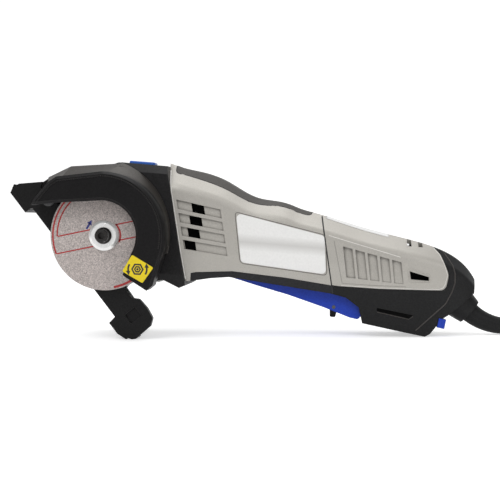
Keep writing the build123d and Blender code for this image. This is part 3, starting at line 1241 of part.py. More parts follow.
cord_run_end = coil_point(quarters[0]) - first_way * 2 * CORD_R
sleeve_way = Vector(math.cos(last_fall), 0, -math.sin(last_fall))
cord_start = Vector(*sleeve_end)
cord_route = [cord_start, cord_start + sleeve_way * CORD_LEG, cord_run_end - first_way * CORD_LEG,
              cord_run_end]
legs = [b - a for a, b in zip(cord_route, cord_route[1:])]
half_turns = [math.radians(a.get_angle(b) / 2) for a, b in zip(legs, legs[1:])]
cord_radii = [
    BEND_SHARE * min(a.length, b.length) / math.tan(half) for a, b, half in zip(legs, legs[1:], half_turns)
]
print("cord radii", [round(radius) for radius in cord_radii])
with BuildPart() as cord:
    with BuildLine() as cord_line:
        FilletPolyline(*cord_route, radius=cord_radii)
    with BuildSketch(Plane(sleeve_end, z_dir=sleeve_way)):
        RegularPolygon(CORD_R, CORD_SIDES)
    sweep(path=cord_line.wire())
sleeve_length = SLEEVE_BEND * (exit_fall - last_fall) + SLEEVE_RUN
print("cord length in all", round(sleeve_length + cord_line.wire().length + coil_length, 1))

layer_wide = COIL_PITCH * layer_turns
tie_middle = (COIL_MIDDLE[0], COIL_MIDDLE[1] + COIL_OUT_R - layer_wide / 2, coil_z + COIL_RISE / 2)
tie_size = (layer_wide + 2 * CORD_R + TIE_ROOM[0], COIL_RISE + 2 * CORD_R + TIE_ROOM[1])
with BuildPart() as cord_tie:
    with BuildSketch(Plane(tie_middle, x_dir=(0, 1, 0), z_dir=(1, 0, 0))):
        RectangleRounded(tie_size[0] + 2 * TIE_THICK, tie_size[1] + 2 * TIE_THICK, TIE_ROUND)
        RectangleRounded(tie_size[0], tie_size[1], TIE_ROUND - TIE_THICK, mode=Mode.SUBTRACT)
    extrude(amount=TIE_WIDE / 2, both=True)

plug_at = coil_point(quarters[-1]) + last_way * PLUG_LEAD
PLUG_PLANE = Plane(plug_at, x_dir=(1, 0, 0), z_dir=last_way)
with BuildPart() as plug:
    with BuildSketch(PLUG_PLANE.offset(PLUG_NECK)):
        RectangleRounded(PLUG_SIZE[0], PLUG_SIZE[1], PLUG_ROUND)
    extrude(amount=PLUG_SIZE[2])
    chamfer(plug.faces().sort_by(Axis(plug_at, last_way))[0].edges(), PLUG_BEVEL)
    with BuildSketch(PLUG_PLANE):
        Circle(PLUG_NECK_R)
    with BuildSketch(PLUG_PLANE.offset(PLUG_NECK + PLUG_NECK_SINK)):
        Circle(PLUG_NECK_R + PLUG_FLARE)
    loft()

with BuildPart() as plug_blades:
    with BuildSketch(PLUG_PLANE.offset(PLUG_NECK + PLUG_SIZE[2])):
        with Locations((BLADE_GAP / 2, 0), (-BLADE_GAP / 2, 0)):
            Rectangle(BLADE_SIZE[0], BLADE_SIZE[1])
    extrude(amount=BLADE_SIZE[2])


PIECES = {
    "top_grip": top_grip.part,
    "lower_grip": lower_grip.part,
    "label_plate": label_plate.part,
    "motor_housing": motor_housing.part,
    "paddle_pins": paddle_pins.part,
    "rear_shell_near": rear_shell_near.part,
    "rear_shell_far": rear_shell_far.part,
    "tail_grip": tail_grip_bored.part,
    "end_cap": end_cap.part,
    "gear_case": gear_case.part,
    "shaft_lock_button": shaft_lock_button.part,
    "bearing_plate": bearing_plate.part,
    "front_spindle_bearing": front_spindle_bearing.part,
    "rear_spindle_bearing": rear_spindle_bearing.part,
    "spindle": spindle.part,
    "inner_flange": inner_flange.part,
    "cutting_disc": cutting_disc.part,
    "outer_flange": outer_flange.part,
    "disc_bolt": disc_bolt.part,
    "bevel_gear": bevel_gear,
    "bevel_pinion": bevel_pinion,
    "armature_shaft": armature_shaft.part,
    "armature_core": armature_core.part,
    "armature_windings": armature_windings.part,
    "commutator": commutator.part,
    "cooling_fan": cooling_fan.part,
    "stator_core": stator_core.part,
    "field_coils": field_coils.part,
    "front_motor_bearing": front_motor_bearing.part,
    "rear_motor_bearing": rear_motor_bearing.part,
    "carbon_brushes": carbon_brushes.part,
    "brush_holders": brush_holders.part,
    "guard_cover": guard_cover.part,
    "guard_shell": guard_shell.part,
    "guard_sticker": guard_sticker.part,
    "foot": foot.part,
    "hinge_pin": hinge_pin.part,
    "depth_quadrant": depth_quadrant.part,
    "depth_bolt": depth_bolt.part,
    "depth_lever": depth_lever.part,
    "paddle": paddle.part,
    "lock_pin": lock_pin.part,
    "lock_lever": lock_lever.part,
    "switch_body": switch_body.part,
    "switch_plunger": switch_plunger.part,
    "hex_key": hex_key.part,
}
LAID = {
    "strain_relief": strain_relief.part,
    "cord": cord.part,
    "cord_coil": cord_coil.part,
    "cord_tie": cord_tie.part,
    "plug": plug.part,
    "plug_blades": plug_blades.part,
}
for name, piece in PIECES.items():
    save(piece, name)
for name, piece in LAID.items():
    save(piece, name, STAND_SHIFT)
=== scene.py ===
"""Looks of the compact circular saw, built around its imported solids. Metres, in the part's own frame."""

import math

import bmesh
import bpy
from mathutils import Matrix, Vector
from mathutils.bvhtree import BVHTree


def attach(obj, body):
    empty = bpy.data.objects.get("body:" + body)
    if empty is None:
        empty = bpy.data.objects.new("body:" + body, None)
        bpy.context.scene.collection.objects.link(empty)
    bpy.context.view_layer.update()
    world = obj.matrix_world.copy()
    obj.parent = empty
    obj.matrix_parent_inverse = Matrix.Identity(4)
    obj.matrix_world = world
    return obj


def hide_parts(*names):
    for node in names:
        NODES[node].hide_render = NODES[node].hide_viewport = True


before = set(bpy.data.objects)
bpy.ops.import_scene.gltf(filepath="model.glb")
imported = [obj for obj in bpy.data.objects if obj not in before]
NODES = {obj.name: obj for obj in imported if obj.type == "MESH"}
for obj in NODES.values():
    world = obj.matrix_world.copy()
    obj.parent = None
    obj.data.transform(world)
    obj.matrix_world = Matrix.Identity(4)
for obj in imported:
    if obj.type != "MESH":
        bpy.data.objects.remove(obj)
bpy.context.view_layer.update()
scene = bpy.context.scene
MM = 0.001
# A curve's tube is as thick as this times each point's own radius, which the bounds count too
WHOLE = 1.0

# The saw's own frame: spindle along Y, motor axis falling towards the rear
LEAN = math.radians(4.906)
SPINDLE_HEIGHT = 73.675
FRAME_MIDDLE = (97.776, -5.5)


def saw(x, y, z):
    """A point of the saw's own frame, in millimetres, as a point of the part's frame, in metres."""
    return Vector((
        (x * math.cos(LEAN) + z * math.sin(LEAN) - FRAME_MIDDLE[0]) * MM,
        (y - FRAME_MIDDLE[1]) * MM,
        (SPINDLE_HEIGHT - x * math.sin(LEAN) + z * math.cos(LEAN)) * MM,
    ))


def laid(x, y, z):
    """A point under the spindle's own origin on the floor, in millimetres, in the part's frame."""
    return Vector(((x - FRAME_MIDDLE[0]) * MM, (y - FRAME_MIDDLE[1]) * MM, z * MM))


# Camera: placed from the spindle, and tilted with the photograph's slight lean
SPINDLE_IN_VIEW = Vector((-98.79, 0.0, 11.08)) * MM
VIEW_FAR = 0.8
SENSOR_WIDE, LENS = 36.0, 78.26
CLIP_NEAR, CLIP_FAR = 0.01, 50.0
VIEW_AZ, VIEW_EL = math.radians(5.0), math.radians(1.5)
VIEW_TILT = Matrix.Rotation(math.radians(0.406), 3, "Y")
camera_data = bpy.data.cameras.new("camera")
camera = bpy.data.objects.new("camera", camera_data)
scene.collection.objects.link(camera)
back = Vector((math.sin(VIEW_AZ) * math.cos(VIEW_EL), -math.cos(VIEW_AZ) * math.cos(VIEW_EL),
               math.sin(VIEW_EL)))
camera.location = saw(0, 0, 0) + VIEW_TILT @ (back * VIEW_FAR - SPINDLE_IN_VIEW)
camera.rotation_mode = "QUATERNION"
camera.rotation_quaternion = VIEW_TILT.to_quaternion() @ (-back).to_track_quat("-Z", "Y")
camera_data.sensor_width = SENSOR_WIDE
camera_data.lens = LENS
camera_data.clip_start = CLIP_NEAR
camera_data.clip_end = CLIP_FAR
scene.camera = camera

# Cord: the same route as the solids, in millimetres from the floor point under the spindle
CORD_R = 3.5
CORD_EXIT = (261.8, -35.0)
CORD_ALONG = (0.8, -0.6)
SLEEVE_BEND, SLEEVE_RUN = 40.0, 24.0
CORD_LEG = 17.3
COIL_MIDDLE = (394.6, 14.2)
COIL_START = math.radians(-135.0)
COIL_OUT_R, COIL_PITCH, COIL_RISE, COIL_TURNS = 53.0, 7.75, 7.7, 6.25
COIL_Z = 4.6
PLUG_LEAD = 30.0
COIL_STEPS = 16
CORD_SIDES, CORD_FINE, CORD_ORDER = 5, 6, 3
TINY_TURN = 1e-4
last_fall = math.radians(2.5)
exit_fall = math.atan2(-CORD_ALONG[1], CORD_ALONG[0]) + LEAN
exit_x = CORD_EXIT[0] * math.cos(LEAN) + CORD_EXIT[1] * math.sin(LEAN)
exit_z = SPINDLE_HEIGHT - CORD_EXIT[0] * math.sin(LEAN) + CORD_EXIT[1] * math.cos(LEAN)


def sleeve_point(fall):
    """The sleeve's middle line where it falls at this angle."""
    return Vector((exit_x + SLEEVE_BEND * (math.sin(exit_fall) - math.sin(fall)), 0.0,
                   exit_z - SLEEVE_BEND * (math.cos(fall) - math.cos(exit_fall))))


def coil_point(turn, swell=1.0):
    """A point of the coil's middle line after so many turns."""
    layer_turns = (COIL_TURNS - 0.5) / 2
    climb = min(max(2 * (turn - layer_turns), 0.0), 1.0)
    wound = min(turn, layer_turns) + (climb - climb * climb) / 2 - max(0.0, turn - layer_turns - 0.5)
    radius = (COIL_OUT_R - COIL_PITCH * wound) * swell
    angle = 2 * math.pi * turn + COIL_START
    height = COIL_Z + COIL_RISE * climb * climb * (3 - 2 * climb)
    return Vector((COIL_MIDDLE[0] + radius * math.cos(angle), COIL_MIDDLE[1] + radius * math.sin(angle),
                   height))


def coil_way(turn):
    """The coil's direction after so many turns."""
    return (coil_point(turn + TINY_TURN) - coil_point(turn - TINY_TURN)).normalized()


sleeve_way = Vector((math.cos(last_fall), 0.0, -math.sin(last_fall)))
sleeve_end = sleeve_point(last_fall) + sleeve_way * SLEEVE_RUN
coil_lead = coil_point(0.0) - coil_way(0.0) * 2 * CORD_R
plug_at = coil_point(COIL_TURNS) + coil_way(COIL_TURNS) * PLUG_LEAD
cord_points = [sleeve_end, sleeve_end + sleeve_way * CORD_LEG,
               coil_lead - coil_way(0.0) * CORD_LEG, coil_lead]
coil_swell = 1 / math.cos(math.pi / COIL_STEPS)
for step in range(int(COIL_TURNS * COIL_STEPS) + 1):
    inner = 0 < step < COIL_TURNS * COIL_STEPS
    cord_points.append(coil_point(step / COIL_STEPS, coil_swell if inner else 1.0))
cord_points.append((coil_point(COIL_TURNS) + plug_at) / 2)
cord_points.append(plug_at)
cord_curve = bpy.data.curves.new("mains_cord", "CURVE")
cord_curve.dimensions = "3D"
cord_curve.bevel_depth = WHOLE
cord_curve.bevel_resolution = CORD_SIDES
cord_curve.resolution_u = CORD_FINE
cord_curve.use_fill_caps = True
spline = cord_curve.splines.new("NURBS")
spline.points.add(len(cord_points) - 1)
for point, place in zip(spline.points, cord_points):
    point.co = (*laid(*place), 1.0)
    point.radius = CORD_R * MM
spline.order_u = CORD_ORDER
spline.use_endpoint_u = True
mains_cord = bpy.data.objects.new("mains_cord", cord_curve)
scene.collection.objects.link(mains_cord)
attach(mains_cord, "saw_body")
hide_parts("cord", "cord_coil")


def tree(name):
    """A new node material: its nodes, links and shader."""
    made = bpy.data.materials.new(name)
    made.use_nodes = True
    nodes, links = made.node_tree.nodes, made.node_tree.links
    return made, nodes, links, nodes["Principled BSDF"]


def noise(nodes, links, scale, detail=2.0, stretch=None):
    """A noise texture in object space, drawn out along an axis where stretch is given."""
    coords = nodes.new("ShaderNodeTexCoord")
    texture = nodes.new("ShaderNodeTexNoise")
    texture.inputs["Scale"].default_value = scale
    texture.inputs["Detail"].default_value = detail
    source = coords.outputs["Object"]
    if stretch:
        mapping = nodes.new("ShaderNodeMapping")
        mapping.inputs["Scale"].default_value = stretch
        mapping.inputs["Rotation"].default_value = (0.0, LEAN, 0.0)
        links.new(source, mapping.inputs["Vector"])
        source = mapping.outputs["Vector"]
    links.new(source, texture.inputs["Vector"])
    return texture.outputs["Fac"]


MIDDLE_RANGE = (0.3, 0.7)


def spread(nodes, links, value, low, high, between=MIDDLE_RANGE):
    """A value mapped from the range between to low and high."""
    mapped = nodes.new("ShaderNodeMapRange")
    mapped.inputs["From Min"].default_value, mapped.inputs["From Max"].default_value = between
    mapped.inputs["To Min"].default_value = low
    mapped.inputs["To Max"].default_value = high
    links.new(value, mapped.inputs["Value"])
    return mapped.outputs["Result"]


# Sockets of the colour mix node: its share, its two colours and its result
MIX_SHARE, MIX_FIRST, MIX_SECOND, MIX_RESULT = 0, 6, 7, 2


def mixed(nodes, links, share, first, second):
    """Two colours mixed by share; a colour is three numbers or a node's output."""
    mix = nodes.new("ShaderNodeMix")
    mix.data_type = "RGBA"
    for socket, colour in ((mix.inputs[MIX_FIRST], first), (mix.inputs[MIX_SECOND], second)):
        if isinstance(colour, tuple):
            socket.default_value = (*colour, 1.0)
        else:
            links.new(colour, socket)
    links.new(share, mix.inputs[MIX_SHARE])
    return mix.outputs[MIX_RESULT]


BROAD_SCALE = 38.0
# Painted highlight on edges: how far the rounded normal must part from the true one before it starts, and
# its strongest share
EDGE_HIGHLIGHT_FROM, EDGE_HIGHLIGHT_SHARE = (0.8, 0.98), 0.55
# Painted shade in creases: how far it looks for nearby surfaces, and over which range it darkens
CREASE_SHADE_REACH, CREASE_SHADE_FROM = 0.003, (0.2, 0.85)
# Painted reflection band: the height of its middle, its half width and its strongest share
REFLECTION_BAND_AT, REFLECTION_BAND_HALF, REFLECTION_BAND_SHARE = 3.0, 0.006, 0.8
ROUGH_LESS, ROUGH_MORE = 0.05, 0.07
FINE_DETAIL, FLECK_LIFT = 3.0, 0.02
EDGE_SAMPLES, CREASE_SHADE_SAMPLES = 4, 8


def surface(name, colour, rough, metal=0.0, fleck=0.12, fleck_scale=900.0, bump=0.15, bump_scale=1400.0,
            depth=0.00012, stretch=None, round_edge=0.0006, edge_highlight=None, gloss=0.5, crease_shade=None, reflection_band=None):
    """A moulded, painted or machined surface: flecked colour, uneven gloss, fine relief, soft edges;
    optionally painted edge highlight, a painted reflection band and painted crease shade.
    """
    made, nodes, links, shader = tree(name)
    shader.inputs["Metallic"].default_value = metal
    shader.inputs["Specular IOR Level"].default_value = gloss
    fine = noise(nodes, links, fleck_scale, FINE_DETAIL, stretch)
    broad = noise(nodes, links, BROAD_SCALE)
    dark = tuple(c * (1 - fleck) for c in colour)
    light = tuple(min(1.0, c * (1 + fleck) + FLECK_LIFT * fleck) for c in colour)
    paint = mixed(nodes, links, spread(nodes, links, fine, 0.0, 1.0), dark, light)
    relief = nodes.new("ShaderNodeBump")
    relief.inputs["Strength"].default_value = bump
    relief.inputs["Distance"].default_value = depth
    links.new(noise(nodes, links, bump_scale, stretch=stretch), relief.inputs["Height"])
    soft = nodes.new("ShaderNodeBevel")
    soft.samples = EDGE_SAMPLES
    soft.inputs["Radius"].default_value = round_edge
    links.new(soft.outputs["Normal"], relief.inputs["Normal"])
    links.new(relief.outputs["Normal"], shader.inputs["Normal"])
    # Painted highlight: edges lightened towards this colour where the rounded normal leans away from the
    # true one
    if edge_highlight:
        geometry = nodes.new("ShaderNodeNewGeometry")
        dot = nodes.new("ShaderNodeVectorMath")
        dot.operation = "DOT_PRODUCT"
        links.new(soft.outputs["Normal"], dot.inputs[0])
        links.new(geometry.outputs["Normal"], dot.inputs[1])
        edge = spread(nodes, links, dot.outputs["Value"], EDGE_HIGHLIGHT_SHARE, 0.0, EDGE_HIGHLIGHT_FROM)
        paint = mixed(nodes, links, edge, paint, edge_highlight)
    # Painted reflection: a band at a set height across the surface, mixed towards this colour
    if reflection_band:
        coords = nodes.new("ShaderNodeTexCoord")
        height = nodes.new("ShaderNodeVectorMath")
        height.operation = "DOT_PRODUCT"
        upright = Vector((math.sin(LEAN), 0.0, math.cos(LEAN)))
        height.inputs[1].default_value = upright
        links.new(coords.outputs["Object"], height.inputs[0])
        away = nodes.new("ShaderNodeMath")
        away.operation = "SUBTRACT"
        away.inputs[1].default_value = saw(0, 0, REFLECTION_BAND_AT).dot(upright)
        links.new(height.outputs["Value"], away.inputs[0])
        size = nodes.new("ShaderNodeMath")
        size.operation = "ABSOLUTE"
        links.new(away.outputs["Value"], size.inputs[0])
        share = spread(nodes, links, size.outputs["Value"], REFLECTION_BAND_SHARE, 0.0, (0.0, REFLECTION_BAND_HALF))
        paint = mixed(nodes, links, share, paint, reflection_band)
    # Painted shade: creases and recesses darkened towards this colour by ambient occlusion
    if crease_shade:
        hollow = nodes.new("ShaderNodeAmbientOcclusion")
        hollow.samples = CREASE_SHADE_SAMPLES
        hollow.inputs["Distance"].default_value = CREASE_SHADE_REACH
        clear = spread(nodes, links, hollow.outputs["AO"], 0.0, 1.0, CREASE_SHADE_FROM)
        paint = mixed(nodes, links, clear, crease_shade, paint)
    links.new(paint, shader.inputs["Base Color"])
    uneven = spread(nodes, links, broad, rough - ROUGH_LESS, rough + ROUGH_MORE)
    links.new(uneven, shader.inputs["Roughness"])
    return made


DULL = 0.16
# Silver casing with painted shade darkening its creases and recesses
SILVER = surface("silver_plastic", (0.45, 0.43, 0.393), 0.4, metal=0.2, fleck=0.14, fleck_scale=2600.0,
                 bump=0.12, crease_shade=(0.13, 0.12, 0.108))
# Painted highlight: a pale copy of the silver for the lit beads on the front rim, shell rim and panel crease
PALE = surface("painted_bead_highlight", (0.74, 0.72, 0.68), 0.35, metal=0.2, fleck=0.06, fleck_scale=2600.0, bump=0.1)
# The black casting, guard, shell and foot get a painted highlight on their edges
CASTING = surface("black_casting", (0.012, 0.0115, 0.012), 0.45, fleck=0.2, bump=0.4, bump_scale=700.0,
                  edge_highlight=(0.05, 0.05, 0.05), gloss=DULL)
GUARD = surface("black_guard", (0.0045, 0.004, 0.0045), 0.4, fleck=0.15, bump=0.25, bump_scale=900.0,
                edge_highlight=(0.11, 0.105, 0.1), gloss=DULL)
SHELL = surface("brown_black_guard", (0.05, 0.045, 0.04), 0.4, metal=0.4, fleck=0.15, bump=0.25,
                bump_scale=900.0, edge_highlight=(0.12, 0.11, 0.1))
FOOT = surface("black_foot", (0.006, 0.0058, 0.006), 0.42, fleck=0.2, bump=0.3, edge_highlight=(0.08, 0.08, 0.078),
               gloss=DULL)
GREY_GRIP = surface("grey_grip", (0.085, 0.08, 0.075), 0.62, fleck=0.1, bump=0.5, bump_scale=1100.0,
                    gloss=0.3)
LOW_GRIP = surface("charcoal_grip", (0.022, 0.022, 0.024), 0.55, fleck=0.15, bump=0.5, bump_scale=1100.0,
                   gloss=DULL)
BLACK_GRIP = surface("black_grip", (0.012, 0.012, 0.0125), 0.55, fleck=0.15, bump=0.5, bump_scale=1100.0,
                     gloss=DULL)
BLACK = surface("black_plastic", (0.012, 0.012, 0.0125), 0.42, fleck=0.15, bump=0.25, gloss=DULL)
# Label film with a darker painted reflection band across it
LABEL = surface("label_film", (0.9, 0.895, 0.88), 0.35, metal=0.05, fleck=0.03, fleck_scale=700.0, bump=0.05,
                reflection_band=(0.6, 0.59, 0.57))
WHITE_STRIP = surface("top_white_strip", (0.78, 0.78, 0.77), 0.35, fleck=0.02, bump=0.03)
YELLOW = surface("sticker_yellow", (0.85, 0.66, 0.02), 0.35, fleck=0.04, bump=0.05, gloss=0.3)
BLUE = surface("blue_plastic", (0.012, 0.05, 0.46), 0.38, fleck=0.1, bump=0.2, gloss=0.3)
PALE_BLUE = surface("pale_blue_plastic", (0.03, 0.13, 0.52), 0.38, fleck=0.1, bump=0.2, gloss=0.3)
STEEL = surface("steel", (0.78, 0.78, 0.77), 0.34, metal=1.0, fleck=0.12, fleck_scale=1500.0, bump=0.1,
                round_edge=0.0004)
ZINC = surface("bright_zinc", (0.92, 0.92, 0.91), 0.3, metal=0.6, fleck=0.06, fleck_scale=1500.0, bump=0.1,
               round_edge=0.0004)
DARK_STEEL = surface("dark_steel", (0.1, 0.1, 0.102), 0.38, metal=0.9, fleck=0.15, bump=0.15,
                     round_edge=0.0003)
BOLT_STEEL = surface("bolt_black_oxide", (0.035, 0.033, 0.032), 0.32, metal=0.85, fleck=0.15, bump=0.1)
LAMINATION = surface("lamination", (0.2, 0.2, 0.21), 0.5, metal=0.8, fleck=0.25, fleck_scale=500.0,
                     stretch=(9.0, 0.3, 0.3))
COPPER = surface("copper", (0.55, 0.24, 0.1), 0.35, metal=0.9, fleck=0.2, fleck_scale=900.0,
                 stretch=(0.3, 4.0, 4.0))
CARBON = surface("carbon", (0.02, 0.02, 0.021), 0.7, fleck=0.3)
DARK_PLASTIC = surface("fan_plastic", (0.05, 0.05, 0.055), 0.45)
RUBBER = surface("black_rubber", (0.01, 0.01, 0.0105), 0.5, fleck=0.15, bump=0.3, bump_scale=1500.0,
                 gloss=DULL)
BAND = surface("tie_band", (0.014, 0.014, 0.014), 0.7, fleck=0.3, bump=0.6, bump_scale=1800.0)
BRASS = surface("blade_brass", (0.6, 0.42, 0.18), 0.28, metal=1.0, fleck=0.1)


def dress(made, *names):
    """Give these CAD nodes one material."""
    for name in names:
        slots = NODES[name].data.materials
        slots.clear()
        slots.append(made)


dress(SILVER, "motor_housing", "rear_shell_near", "rear_shell_far")
dress(CASTING, "gear_case")
dress(GUARD, "guard_cover")
dress(SHELL, "guard_shell")
dress(FOOT, "foot")
dress(GREY_GRIP, "top_grip")
dress(LOW_GRIP, "lower_grip")
dress(BLACK_GRIP, "tail_grip")
dress(BLACK, "end_cap", "lock_lever", "switch_body", "brush_holders", "depth_lever", "switch_plunger")
dress(LABEL, "label_plate")
dress(YELLOW, "guard_sticker")
dress(BLUE, "paddle")
dress(PALE_BLUE, "shaft_lock_button")
dress(STEEL, "spindle", "bearing_plate", "front_spindle_bearing", "rear_spindle_bearing", "inner_flange",
      "bevel_gear", "bevel_pinion", "armature_shaft", "front_motor_bearing", "rear_motor_bearing",
      "depth_quadrant", "depth_bolt", "paddle_pins")
dress(ZINC, "outer_flange")
dress(DARK_STEEL, "disc_bolt", "hex_key", "lock_pin", "hinge_pin")
dress(LAMINATION, "armature_core", "stator_core")
dress(COPPER, "armature_windings", "field_coils", "commutator")
dress(CARBON, "carbon_brushes")
dress(DARK_PLASTIC, "cooling_fan")
dress(RUBBER, "strain_relief", "plug", "cord", "cord_coil")
dress(BAND, "cord_tie")
dress(BRASS, "plug_blades")
cord_curve.materials.append(RUBBER)


def mesh_piece(name, verts, faces, made, body, smooth=False):
    """A new mesh object in the part's frame, riding a body."""
    data = bpy.data.meshes.new(name)
    data.from_pydata([tuple(v) for v in verts], [], faces)
    data.validate()
    for polygon in data.polygons:
        polygon.use_smooth = smooth
    data.materials.append(made)
    piece = bpy.data.objects.new(name, data)
    scene.collection.objects.link(piece)
    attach(piece, body)
    return piece


def slab(outline, y, thick):
    """Vertices and faces of a flat plate: an outline in the saw's side view, its face towards -Y at y."""
    count = len(outline)
    verts = [saw(x, y, z) for x, z in outline] + [saw(x, y + thick, z) for x, z in outline]
    faces = [tuple(range(count))]
    faces += [(k, k + count, (k + 1) % count + count, (k + 1) % count) for k in range(count)]
    faces.append(tuple(reversed(range(count, 2 * count))))
    return verts, faces


def join(parts):
    """Several sets of vertices and faces as one."""
    verts, faces = [], []
    for more, sides in parts:
        start = len(verts)
        verts += more
        faces += [tuple(start + k for k in side) for side in sides]
    return verts, faces


ARC_STEP, ARC_LEAST = 3, 4


def arc_band(radius, wide, start, end, y, thick, middle=(0.0, 0.0), steps=None):
    """A flat printed arc round a middle, from start to end in degrees."""
    steps = steps or max(ARC_LEAST, int(abs(end - start) / ARC_STEP))
    parts = []
    for k in range(steps):
        corners = []
        for r, share in ((radius, k), (radius + wide, k), (radius + wide, k + 1), (radius, k + 1)):
            angle = math.radians(start + (end - start) * share / steps)
            corners.append((middle[0] + r * math.cos(angle), middle[1] + r * math.sin(angle)))
        parts.append(slab(corners, y, thick))
    return join(parts)


def stroke(start, end, wide, y, thick):
    """A flat printed line between two points."""
    along = Vector((end[0] - start[0], end[1] - start[1])).normalized() * (wide / 2)
    across = (-along.y, along.x)
    corners = [(start[0] + across[0], start[1] + across[1]), (end[0] + across[0], end[1] + across[1]),
               (end[0] - across[0], end[1] - across[1]), (start[0] - across[0], start[1] - across[1])]
    return slab(corners[::-1], y, thick)


# Print on the disc: red rings, red band and a turning arrow
DISC_FACE_Y = -45.2
INK_RISE, INK_THICK = 0.04, 0.03
INK_Y = DISC_FACE_Y - INK_RISE
RED_INK = surface("red_ink", (0.42, 0.03, 0.03), 0.5, fleck=0.3, fleck_scale=1200.0, bump=0.2)
BLUE_INK = surface("blue_ink", (0.02, 0.03, 0.2), 0.5, fleck=0.3, fleck_scale=1200.0, bump=0.2)
BAND_TILT = 15.9


def disc_turn(points, angle):
    """Points of the disc's face turned about its middle."""
    c, s = math.cos(math.radians(angle)), math.sin(math.radians(angle))
    return [(x * c - z * s, x * s + z * c) for x, z in points]


def disc_line(start, end, wide):
    """A printed line on the disc, drawn level and turned with the band."""
    a, b = disc_turn([start, end], BAND_TILT)
    return stroke(a, b, wide, INK_Y, INK_THICK)


# Each ring: radius, width, first and last angle in degrees. Each line: its height and its two ends
RED_RINGS = [(36.2, 1.2, 110, 205.3), (33.2, 1.0, 112, 185.6), (36.0, 1.6, 285, 318), (10.9, 1.2, -19, 47)]
RED_LINES = [(6.0, -32.7, -8.6), (-5.9, -35.7, -8.6), (5.9, 9.2, 36.0), (-5.3, 9.5, 36.0)]
RED_LINE_WIDE = 0.9
ARROW_SHAFT, ARROW_WIDE = ((-13.0, 3.6), (-10.9, 7.7)), 1.4
ARROW_HEAD = [(-12.9, 8.0), (-9.7, 10.2), (-9.5, 6.3)]
red_print = [arc_band(*ring, INK_Y, INK_THICK) for ring in RED_RINGS]
red_print += [disc_line((start, z), (end, z), RED_LINE_WIDE) for z, start, end in RED_LINES]
mesh_piece("disc_red_print", *join(red_print), RED_INK, "spindle_stack")
blue_print = [stroke(*ARROW_SHAFT, ARROW_WIDE, INK_Y, INK_THICK), slab(ARROW_HEAD, INK_Y, INK_THICK)]
mesh_piece("disc_blue_print", *join(blue_print), BLUE_INK, "spindle_stack")
DISC = surface("abrasive", (0.5, 0.445, 0.425), 0.8, fleck=0.42, fleck_scale=1500.0, bump=0.8,
               bump_scale=1500.0, depth=0.0003, round_edge=0.0002)
dress(DISC, "cutting_disc")

# Turning sign on the sticker: a bolt head between two arrows
STICKER_AT = (27.8, -20.9)
SIGN_Y, SIGN_THICK = -58.34, 0.03
SIGN_TILT = 2.0
SIGN_INK = surface("sign_ink", (0.015, 0.015, 0.02), 0.4, fleck=0.1)


def sign_place(points):
    """Points of the sign, turned and moved onto the sticker."""
    return [(x + STICKER_AT[0], z + STICKER_AT[1]) for x, z in disc_turn(points, SIGN_TILT)]


def hex_band(outer, inner):
    """A six-sided printed ring."""
    parts = []
    for k in range(6):
        a, b = math.radians(60 * k), math.radians(60 * (k + 1))
        corners = [(inner * math.cos(a), inner * math.sin(a)), (outer * math.cos(a), outer * math.sin(a)),
                   (outer * math.cos(b), outer * math.sin(b)), (inner * math.cos(b), inner * math.sin(b))]
        parts.append(slab(sign_place(corners), SIGN_Y, SIGN_THICK))
    return join(parts)


SIGN_HEXES = [(4.4, 3.2), (2.5, 1.4), (0.9, 0.01)]
SIGN_ARC_R, SIGN_ARC_WIDE, SIGN_ARC_FROM, SIGN_ARC_TO = 5.9, 1.2, -30.0, 14.0
SIGN_HEAD = [(4.9, 1.4), (8.1, 1.4), (6.0, 4.3)]
sign = [hex_band(*radii) for radii in SIGN_HEXES]
for turn in (SIGN_TILT, SIGN_TILT + 180.0):
    sign.append(arc_band(SIGN_ARC_R, SIGN_ARC_WIDE, turn + SIGN_ARC_FROM, turn + SIGN_ARC_TO, SIGN_Y,
                         SIGN_THICK, STICKER_AT))
    head = disc_turn(SIGN_HEAD, turn - SIGN_TILT)
    sign.append(slab(sign_place(head), SIGN_Y, SIGN_THICK))
mesh_piece("sticker_sign", *join(sign), SIGN_INK, "saw_body")


# Thin trim that follows the casing's sides
def side_tree(*names):
    """A search tree over these CAD nodes' meshes."""
    verts, faces = [], []
    for name in names:
        start = len(verts)
        verts += [v.co.copy() for v in NODES[name].data.vertices]
        faces += [tuple(start + k for k in polygon.vertices) for polygon in NODES[name].data.polygons]
    return BVHTree.FromPolygons(verts, faces)


CASING = side_tree("motor_housing", "rear_shell_near", "rear_shell_far", "tail_grip", "lower_grip",
                   "top_grip", "end_cap", "label_plate")
RAY_FROM = 120.0


def on_side(x, z, near=True):
    """The casing's surface at a point of the side view, and its outward normal."""
    way = Vector((0.0, 1.0 if near else -1.0, 0.0))
    start = saw(x, -RAY_FROM if near else RAY_FROM, z)
    hit, normal, _, _ = CASING.ray_cast(start, way)
    return (hit, normal) if hit else (None, None)


LINE_STEP = 1.5


def sampled(points, closed):
    """The points of a broken line, divided finely."""
    ends = points[1:] + points[:1] if closed else points[1:]
    dense = []
    for (ax, az), (bx, bz) in zip(points, ends):
        count = max(1, int(math.hypot(bx - ax, bz - az) / LINE_STEP))
        dense += [(ax + (bx - ax) * k / count, az + (bz - az) * k / count) for k in range(count)]
    return dense if closed else dense + [points[-1]]


def on_top(x, y):
    """The casing's surface from above, and its outward normal."""
    start = saw(x, y, RAY_FROM)
    hit, normal, _, _ = CASING.ray_cast(start, (saw(x, y, 0.0) - start).normalized())
    return hit, normal


BEAD_SIDES = 2


